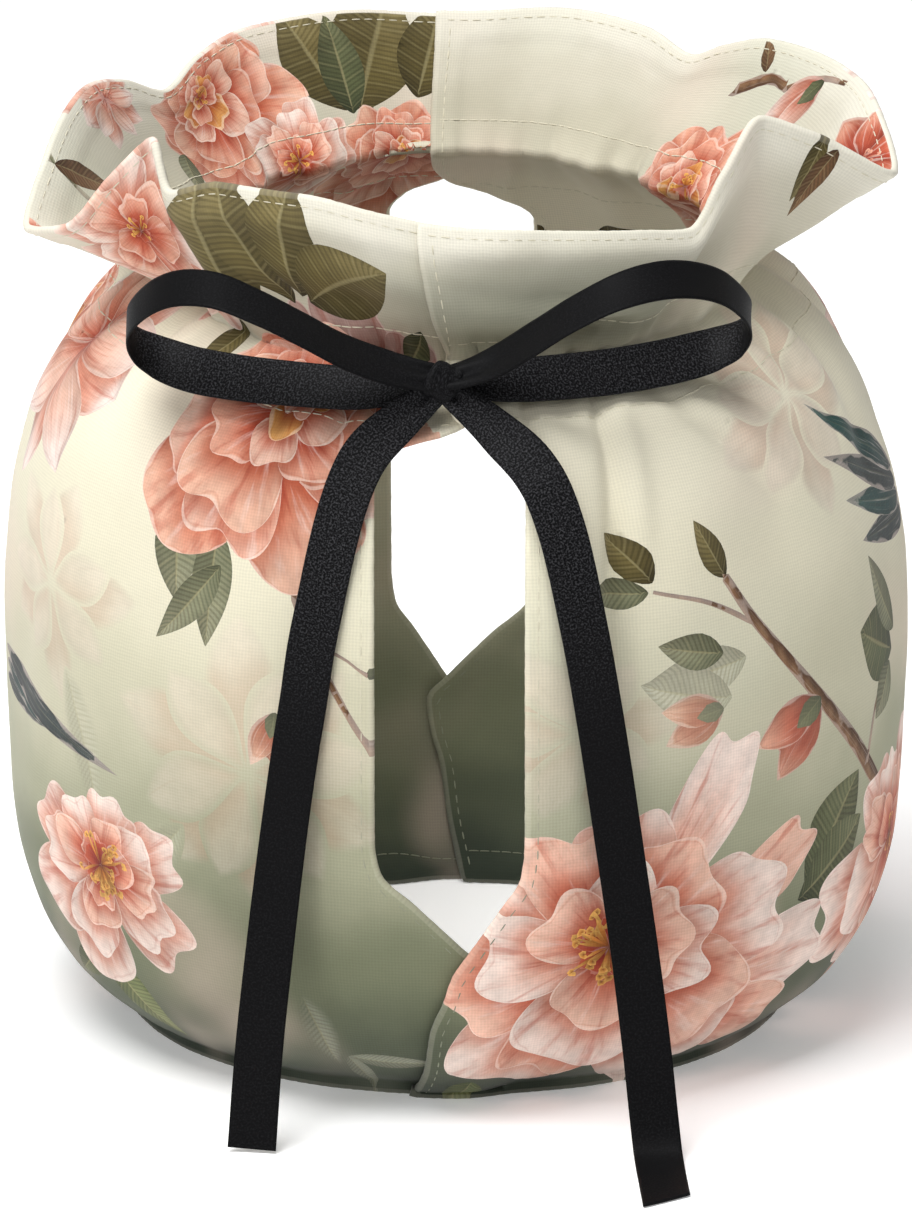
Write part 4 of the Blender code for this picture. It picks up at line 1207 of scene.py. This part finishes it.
def makeCanvas(look):
    material, shader = newMaterial("printedCanvas")
    flat, u, v = clothPlace("flatCloth")

    def lay(below, share, layer, way="MIX"):
        colour, strength = look[layer]
        return blendColour(times(share, strength), below, colour, way)

    # the ground fades up the cloth, with soft washed clouds and painted shade round the neck
    drift = calc("SUBTRACT", noise(flat, look["driftScale"], 3.0, 0.55), 0.5)
    drift = times(drift, look["groundDrift"])
    height = plus(calc("DIVIDE", v, topFlat * mm), drift)
    colour = colourRamp(height, look["ground"], "EASE")
    colour = lay(colour, spread(noise(flat, look["blushScale"]), 0.52, 0.72), "blushCloud")
    shifted = vectorCalc("ADD", flat, (0.7, 0.3, 0.0))
    colour = lay(colour, spread(noise(shifted, look["greenScale"]), 0.54, 0.74), "greenCloud")
    # painted shade: a soft darker patch over the front of the neck
    fromNeckShade = []
    for at, centre, half in zip((u, v), look["neckShadeAt"], look["neckShadeHalf"]):
        away = calc("MULTIPLY_ADD", at, 1.0 / (half * mm), -centre / half)
        fromNeckShade.append(times(away, away))
    colour = lay(colour, spread(plus(*fromNeckShade), 1.0, 0.0), "neckShade")
    # printed shapes: petals are streaked from the heart outward
    along, across, inside = parts(carried("detail", "Vector"))
    streaky, veined, seed = parts(carried("mark", "Vector"))
    strandAt = addNode("ShaderNodeCombineXYZ", {0: times(across, 6.5), 1: times(along, 0.05), 2: seed})
    strands = noise(strandAt.outputs[0], 1.0, 3.0, 0.62)
    printed = carried("paint", "Color")
    printed = lay(printed, times(spread(strands, 0.50, 0.72), streaky), "petalStreak", "MULTIPLY")
    printed = lay(printed, times(spread(strands, 0.46, 0.24), streaky), "petalLight")
    # a petal's rolled rim: pale, with a thin shadow inside it
    rimWide = spread(noise(flat, look["rimScale"], 1.0), 0.35, 0.75, 0.12, 1.5)
    rimPlace = calc("DIVIDE", inside, rimWide)
    lip = calc("ABSOLUTE", calc("SUBTRACT", rimPlace, 1.25))
    printed = lay(printed, times(spread(lip, 0.35, 0.0), streaky), "rimShadow", "MULTIPLY")
    printed = lay(printed, times(spread(rimPlace, 1.0, 0.55), streaky), "rimLight")
    # leaves: a midrib, slanting side veins and fine lines, one half in shade
    offMid = calc("ABSOLUTE", across)
    slant = plus(times(along, 1.7), times(offMid, -4.2))
    fineLine = spread(calc("SINE", times(slant, 3.0)), -0.4, 0.9)
    printed = lay(printed, times(fineLine, veined), "leafLines", "MULTIPLY")
    printed = lay(printed, times(spread(across, -0.03, 0.05), veined), "leafShade", "MULTIPLY")
    rib = times(spread(offMid, 0.09, 0.02), veined, look["ribStrength"])
    sideVein = times(spread(calc("SINE", slant), 0.84, 0.99), veined, look["sideVeinStrength"])
    printed = blendColour(calc("MAXIMUM", rib, sideVein), printed, look["leafVein"])
    # painterly mottling
    mottle = [(0.28, (look["mottleTone"],) * 3), (0.70, (1.0,) * 3)]
    mottle = colourRamp(noise(flat, look["mottleScale"], 4.0, 0.6), mottle)
    printed = blendColour(1.0, printed, mottle, "MULTIPLY")
    colour = blendColour(carried("paint", "Alpha"), colour, printed)
    # folded edges are lighter: unprinted thread, with a painted highlight along the fold
    colour = lay(colour, spread(carried("edgeGap"), 1.25, 0.97), "bareThreadAndHighlight")
    # plain weave
    turns = 2.0 * math.pi / (look["thread"] * mm)
    stray = calc("SUBTRACT", noise(flat, look["strayScale"], 2.0, 0.6), 0.5)
    stray = times(stray, look["strayThread"])
    warp, weft = (calc("SINE", calc("MULTIPLY_ADD", at, turns, stray)) for at in (u, v))
    slub = noise(vectorCalc("MULTIPLY", flat, (0.25, 1.0, 1.0)), look["slubScale"])
    weave = plus(plus(times(plus(warp, weft), 0.25), 0.5), times(calc("SUBTRACT", slub, 0.5), 0.5))
    tone = calc("MULTIPLY_ADD", weave, look["weaveShade"], 1.0 - look["weaveShade"])
    tone = addNode("ShaderNodeCombineColor", {0: tone, 1: tone, 2: tone}).outputs[0]
    feed(shader, {
        "Base Color": blendColour(1.0, colour, tone, "MULTIPLY"),
        "Normal": bump(look["weaveBump"], look["weaveDepth"], weave),
        "Roughness": look["roughness"],
        "Sheen Weight": look["sheen"],
        "Sheen Roughness": 0.5,
        "Specular IOR Level": 0.25,
    })
    return material


canvas = makeCanvas(canvasLook)
for side in ("left", "right"):
    piece = clothPanel("clothPanel_" + side, side, canvas)
    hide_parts("panel_" + side)
    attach(piece, "root")


# thread toned to the ground that it is sewn on
threadLook = {
    "low": ink(124, 127, 106),
    "high": ink(206, 200, 178),
    "from": 36,            # levels between which it changes
    "to": 110,
}


def makeThread(look):
    material, shader = newMaterial("cottonThread")
    colour = blendColour(carried("tone"), look["low"], look["high"])
    feed(shader, {"Base Color": colour, "Roughness": 0.8, "Sheen Weight": 0.2})
    return material


stitches = sewStitches("hemStitching", makeThread(threadLook))
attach(stitches, "root")


# satin ribbon
satinLook = {
    "base": ink(12, 12, 13),
    # painted glint: lighter speck colour mixed into the base colour
    "glint": ink(70, 70, 73),
    "glintShare": 0.7,
    "rib": 0.32,           # pitch of the fine cross ribs
    "ribDepth": 0.03,
    "grainScale": 2300,    # of its noise, per metre
    "roughness": (0.40, 0.62),
}


def makeSatin(look):
    material, shader = newMaterial("blackSatin")
    flat, _, v = clothPlace("flatRibbon")
    grainGlint = noise(flat, look["grainScale"], 1.0)
    # painted glints: lighter specks in the base colour where light caught the satin
    glint = times(spread(grainGlint, 0.40, 0.78), carried("glintAmount"), look["glintShare"])
    ribs = calc("SINE", times(v, 2 * math.pi / (look["rib"] * mm)))
    feed(shader, {
        "Base Color": blendColour(glint, look["base"], look["glint"]),
        "Normal": bump(0.5, look["ribDepth"], plus(times(ribs, 0.3), grainGlint)),
        "Roughness": spread(grainGlint, 0.3, 0.7, *look["roughness"], False),
        "Specular IOR Level": 0.05,
    })
    return material


satin = makeSatin(satinLook)

ribbonCloth = {
    "width": 10,
    "thick": 0.45,
    "selvedge": 0.62,      # thickness along both edges
    "selvedgeAt": (0.88, 0.08),  # where it starts over the half width, and its ease
    "outerEdge": 0.6,      # the very edge is thinner
    "rowStep": 0.9,
    "columns": 18,
    "lies": 0.34,          # height of its middle on the ground
    "offGround": 0.03,
    "pinch": 4.5,          # narrower by this much, it is fully crumpled
    "crumple": 0.5,
    "bow": 0.10,           # slight arch over its width
    "wave": 0.10,
    "slantRun": 12,        # over which a slanted end turns
    # painted glints: a loop's returning strand gets lighter specks in its colour, from this share of its
    # length, and so do the tails near the knot, up to this length, each with its ease
    "glintLoop": (0.40, 0.16),
    "glintTail": (40, 50),
    "leastGlint": 0.15,
}

# middle line of each piece: x, y, z, swing and rise of its width, and the width where it is drawn in
ribbonRoutes = {
    "loop_left": [
        (-2.8, -76.4, 156.9, 90, 42, 6), (-8, -76.8, 157.9, 90, 38, 7.4),
        (-14.2, -77.4, 159.8, 90, 33, 9), (-22.9, -78.5, 163.5, 90, 28), (-31.4, -79, 168.3, 90, 28),
        (-40.1, -78, 172.5, 90, 28), (-48.9, -75, 175.2, 90, 26), (-56.5, -70.5, 174.4, 90, 24),
        (-63, -64.5, 170, 90, 22), (-67, -58.5, 163, 90, 22), (-65.6, -54.5, 157.8, 90, 32),
        (-61.4, -53.5, 155.1, 90, 42), (-55.1, -55.4, 153.1, 90, 47), (-46.2, -60, 152.6, 90, 48),
        (-32.8, -66.6, 153, 90, 46), (-20.4, -70.8, 153.4, 90, 44), (-12.4, -72.6, 154.2, 90, 43, 8.8),
        (-7.2, -74, 154.8, 90, 42, 7.4), (-2.8, -75.2, 155.4, 90, 42, 6),
    ],
    "loop_right": [
        (-2.8, -76.2, 156.9, 90, 42, 6), (2.4, -76.6, 158.4, 90, 39, 7.2),
        (7.8, -77.4, 160.9, 90, 35, 8.8), (15.8, -79.2, 166.4, 90, 30), (23.6, -80, 171.7, 90, 28),
        (32.4, -79, 175.9, 90, 28), (41.2, -75, 177.3, 90, 28), (49.3, -69, 175.6, 90, 26),
        (55.9, -62.5, 171.2, 90, 24), (60.2, -55.5, 163.5, 90, 22), (58.6, -51.5, 158.6, 90, 32),
        (53.2, -51.5, 156.1, 90, 42), (46.1, -54.6, 154.8, 90, 48), (33.5, -61, 154.2, 90, 48),
        (20.2, -67.4, 154.6, 90, 46), (9, -72.2, 155.2, 90, 44, 9.4), (2.6, -74, 155.5, 90, 43, 7.6),
        (-2.8, -75, 155.6, 90, 42, 6),
    ],
    "tail_left": [
        (-3, -76.6, 156, -28, -42, 6), (-6, -77.2, 153.4, -28, -42, 6.8),
        (-8.7, -78, 151.1, -27, -41, 7.6), (-11.6, -78.9, 148.7, -27, -38, 8.6),
        (-14.6, -80, 146.3, -26, -34, 9.4), (-17.3, -81.2, 143.8, -24, -31, 9.8),
        (-19.4, -82.6, 141, -23, -28), (-21.6, -84.6, 136.6, -21, -23), (-23.3, -86.2, 131.8, -20, -18),
        (-25.5, -88.2, 123.4, -18, -13), (-27.5, -89.6, 113.9, -18, -11),
        (-29.5, -90.3, 103.9, -18, -10), (-31, -90.6, 93.3, -19, -9), (-32.7, -90.9, 82.7, -19, -9),
        (-35.6, -92.2, 61.5, -19, -8), (-38.1, -95.2, 40.8, -17, -7), (-40.3, -99.4, 20.5, -13, -6),
        (-41.8, -104, 0.8, -9, -4),
    ],
    "tail_right": [
        (-2.6, -76.6, 156, 28, 42, 6), (0.2, -77.4, 153.6, 28, 40, 6.6),
        (3.4, -78.8, 151.2, 27, 38, 7.4), (6.8, -80.5, 148.6, 26, 36, 8.4),
        (10.1, -82.4, 146, 24, 34, 9.4), (13.2, -84.4, 143.6, 22, 31, 9.9), (15.8, -86.2, 141, 21, 28),
        (18.2, -88.4, 137.6, 20, 24), (20, -90, 133.6, 19, 20), (22, -91.8, 127.6, 18, 15),
        (23.6, -93.2, 121.2, 18, 12), (25, -94.3, 114.6, 18, 11), (26.8, -95, 105.4, 18, 9),
        (28.6, -95.4, 94.9, 18, 8), (30.3, -95.6, 84.2, 18, 8), (33.4, -96.2, 62.9, 17, 8),
        (36.4, -98.2, 42, 14, 7), (39, -101.8, 21.6, 9, 4), (40.3, -104.9, 9.6, 6, 1),
        (41.2, -109.4, 2.4, 4, 0), (41.6, -113.8, 0.8, 3, 0), (42.7, -134, 0.6, 3, 0),
    ],
}
tailSlant = 3.2            # the right tail's end is cut on the slant


def ribbonStrip(name, route, slant=0.0):
    # two faces of ribbon along its route, joined round the edge
    cloth = ribbonCloth
    table = np.array([row + (cloth["width"],) * (6 - len(row)) for row in route])
    steps = np.linalg.norm(np.diff(table[:, :3], axis=0), axis=1)
    along = np.concatenate(([0.0], np.cumsum(steps)))
    length = along[-1]
    ways = np.linspace(0.0, length, int(length / cloth["rowStep"]))
    x, y, z, swing, rise, wide = (curveThrough(along, table[:, i], ways, loose=True) for i in range(6))
    z = np.maximum(z, cloth["lies"])
    line = np.stack((x, y, z), axis=1)
    forward = unit(np.gradient(line, axis=0))
    swing, rise = np.radians(swing), np.radians(rise)
    side = np.stack((np.cos(rise) * np.cos(swing), np.cos(rise) * np.sin(swing), np.sin(rise)), axis=1)
    side = unit(side - forward * (side * forward).sum(axis=1, keepdims=True))
    face = np.cross(side, forward)
    wide = np.minimum(wide, cloth["width"])
    pinch = softStep((cloth["width"] - wide) / cloth["pinch"])      # crumples where it is drawn in
    t = np.linspace(-1.0, 1.0, cloth["columns"] + 1)
    crumple = pinch[:, None] * cloth["crumple"] * np.cos(1.8 * math.pi * t[None, :] + 0.6)
    bow = cloth["bow"] * (1.0 - t[None, :] ** 2) * np.ones((len(ways), 1))
    wave = cloth["wave"] * np.sin(ways / 9.0 + 0.5)[:, None] * t[None, :]
    middle = line[:, None] + side[:, None] * (0.5 * wide[:, None] * t[None, :])[..., None]
    middle = middle + face[:, None] * (crumple + bow + wave)[..., None]
    if slant:
        run = cloth["slantRun"]
        last = softStep((ways - (length - run)) / run)[:, None] * slant * -t[None, :]
        middle = middle + forward[:, None] * last[..., None]
    rowDown, rowAcross = np.gradient(middle, axis=0), np.gradient(middle, axis=1)
    normal = unit(np.cross(rowAcross, rowDown))
    start, ease = cloth["selvedgeAt"]
    edge = softStep((np.abs(t) - start) / ease)
    half = 0.5 * (cloth["thick"] + (cloth["selvedge"] - cloth["thick"]) * edge)
    half = half * np.where(np.abs(t) == 1.0, cloth["outerEdge"], 1.0)
    front, back = middle + normal * half[:, None], middle - normal * half[:, None]
    rows, columns = middle.shape[:2]
    points = np.vstack((front.reshape(-1, 3), back.reshape(-1, 3)))
    points[:, 2] = np.maximum(points[:, 2], cloth["offGround"])
    shift = rows * columns
    index = np.arange(shift).reshape(rows, columns)
    a, b, c, d = index[:-1, :-1], index[:-1, 1:], index[1:, 1:], index[1:, :-1]
    faces = np.stack((a, b, c, d), axis=-1).reshape(-1, 4).tolist()
    faces += (np.stack((d, c, b, a), axis=-1).reshape(-1, 4) + shift).tolist()
    loop = np.concatenate((index[0, :], index[1:, -1], index[-1, -2::-1], index[-2::-1, 0]))
    near, far = loop[:-1], loop[1:]
    faces += np.stack((far, near, near + shift, far + shift), axis=-1).tolist()
    piece = meshObject(name, points, faces, satin)
    flatPlace = np.stack((np.tile(t * 0.5 * cloth["width"], rows), np.repeat(ways, columns)), axis=1) * mm
    flatPlace = np.vstack((flatPlace, flatPlace + (0.0, 0.37)))
    layFlat(piece, "flatRibbon", flatPlace[cornerPoints(piece)])
    # painted glints: how much of the lighter speck colour each row gets
    least = cloth["leastGlint"]
    if "loop" in name:
        start, ease = cloth["glintLoop"]
        glintAmount = softStep((ways / length - start) / ease)
    else:
        end, ease = cloth["glintTail"]
        glintAmount = 1.0 - softStep((ways - end) / ease)
    glintAmount = np.repeat(least + (1.0 - least) * glintAmount, columns)
    carry(piece, "glintAmount", "FLOAT", "POINT", np.tile(glintAmount, 2))
    return piece, length


ribbonPieces = {}
for label, route in ribbonRoutes.items():
    slant = tailSlant if label == "tail_right" else 0.0
    piece, length = ribbonStrip("ribbon_" + label + "_satin", route, slant)
    ribbonPieces[label] = (piece, length)
    print("ribbon", label, round(length, 1), "mm")

knotShape = {
    "centre": (-2.8, -75.6, 156),
    "half": (3.8, 3.1, 4.5),
    "lean": -28,
    "roll": 24,            # the wrap runs from upper right to lower left
    "rows": 72,
    "columns": 40,
    "folds": 0.45,
    "square": 0.55,        # how boxy the wrap is; 1 is round
    # share of painted glints on the knot
    "grainGlint": 0.35,
}


def tiedKnot(name, knot):
    # a short length wrapped once round the crossing, drawn into folds
    phi = np.linspace(0.0, 2.0 * math.pi, knot["rows"], endpoint=False)[:, None]
    w = np.linspace(-1.0, 1.0, knot["columns"])[None, :]
    c, s = np.cos(phi), np.sin(phi)
    y = np.sign(c) * np.abs(c) ** knot["square"]
    z = np.sign(s) * np.abs(s) ** knot["square"]
    cap = np.sqrt(np.maximum(1.0 - np.abs(w) ** 5, 0.0))
    pinch = (0.86 + 0.14 * np.abs(w) ** 1.5) * (0.30 + 0.70 * cap)
    lanes = np.cos(math.pi * 2.2 * (w + 0.22 * np.sin(phi + 0.4)) + 0.5)
    ridge = knot["folds"] * lanes * cap * (0.6 + 0.4 * np.cos(phi))
    hx, hy, hz = knot["half"]
    x = hx * w * (1.0 - 0.10 * np.abs(np.sin(phi))) + 0.3 * np.sin(phi)
    py = y * (hy * pinch + ridge)
    pz = z * (hz * pinch + 0.4 * ridge)
    tilt = math.radians(knot["lean"])
    turnedY = py * math.cos(tilt) - pz * math.sin(tilt)
    turnedZ = py * math.sin(tilt) + pz * math.cos(tilt)
    roll = math.radians(knot["roll"])
    rolledX = x * math.cos(roll) + turnedZ * math.sin(roll)
    rolledZ = turnedZ * math.cos(roll) - x * math.sin(roll)
    points = np.stack(np.broadcast_arrays(rolledX, turnedY, rolledZ), axis=-1) + np.array(knot["centre"])
    rows, columns = points.shape[:2]
    index = np.arange(rows * columns).reshape(rows, columns)
    following = np.roll(index, -1, axis=0)
    faces = np.stack((index[:, :-1], index[:, 1:], following[:, 1:], following[:, :-1]), axis=-1)
    faces = faces.reshape(-1, 4)[:, ::-1].tolist()
    faces += [index[:, 0].tolist(), index[::-1, -1].tolist()]
    piece = meshObject(name, points.reshape(-1, 3), faces, satin)
    flatPlace = np.stack((np.tile(w[0] * 5.0, rows), np.repeat(phi[:, 0] * 4.5, columns)), axis=1) * mm
    layFlat(piece, "flatRibbon", flatPlace[cornerPoints(piece)])
    carry(piece, "glintAmount", "FLOAT", "POINT", np.full(rows * columns, knot["grainGlint"]))
    return piece


knotPiece = tiedKnot("ribbon_knot_satin", knotShape)
for label, (piece, length) in ribbonPieces.items():
    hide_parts("ribbon_" + label)
    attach(piece, "root")
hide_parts("ribbon_knot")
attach(knotPiece, "root")
print("bow made")


# floor and light
studio = {
    "floorTone": 0.92,
    "floorGlow": 0.24,
    "floorHalf": 4,        # metres
    "worldStrength": 0.24,
    "aimHeight": 0.09,     # metres
    # place in metres, size, watts
    "lamps": [
        ((-0.42, -0.36, 1.75), 1.2, 39.5),
        ((-1, -1.4, 1.1), 0.6, 6),
        ((1.3, -1, 1.1), 1.2, 2),
    ],
}


def makeStudio(setup):
    half = setup["floorHalf"]
    mesh = bpy.data.meshes.new("studioFloor")
    mesh.from_pydata([(-half, -half, 0), (half, -half, 0), (half, half, 0), (-half, half, 0)], [],
                     [(0, 1, 2, 3)])
    material, shader = newMaterial("paleFloor")
    white = (1.0, 1.0, 1.0, 1.0)
    feed(shader, {
        "Base Color": (*(setup["floorTone"],) * 3, 1.0),
        "Roughness": 0.9,
        "Specular IOR Level": 0.1,
        "Emission Color": white,
        "Emission Strength": setup["floorGlow"],
    })
    mesh.materials.append(material)
    floor = bpy.data.objects.new("studioFloor", mesh)
    bpy.context.scene.collection.objects.link(floor)
    world = bpy.data.worlds.new("softRoom")
    world.use_nodes = True
    feed(world.node_tree.nodes["Background"], {"Color": white, "Strength": setup["worldStrength"]})
    bpy.context.scene.world = world
    aim = Vector((0.0, axisBack * mm, setup["aimHeight"]))
    for index, (place, size, watts) in enumerate(setup["lamps"]):
        lamp = bpy.data.lights.new("softLamp", "AREA")
        lamp.energy = watts
        lamp.size = size
        holder = bpy.data.objects.new(f"softLamp_{index}", lamp)
        holder.location = place
        holder.rotation_euler = (aim - Vector(place)).to_track_quat("-Z", "Y").to_euler()
        bpy.context.scene.collection.objects.link(holder)
    bpy.context.scene.view_settings.view_transform = "Standard"


makeStudio(studio)
print("studio lit")
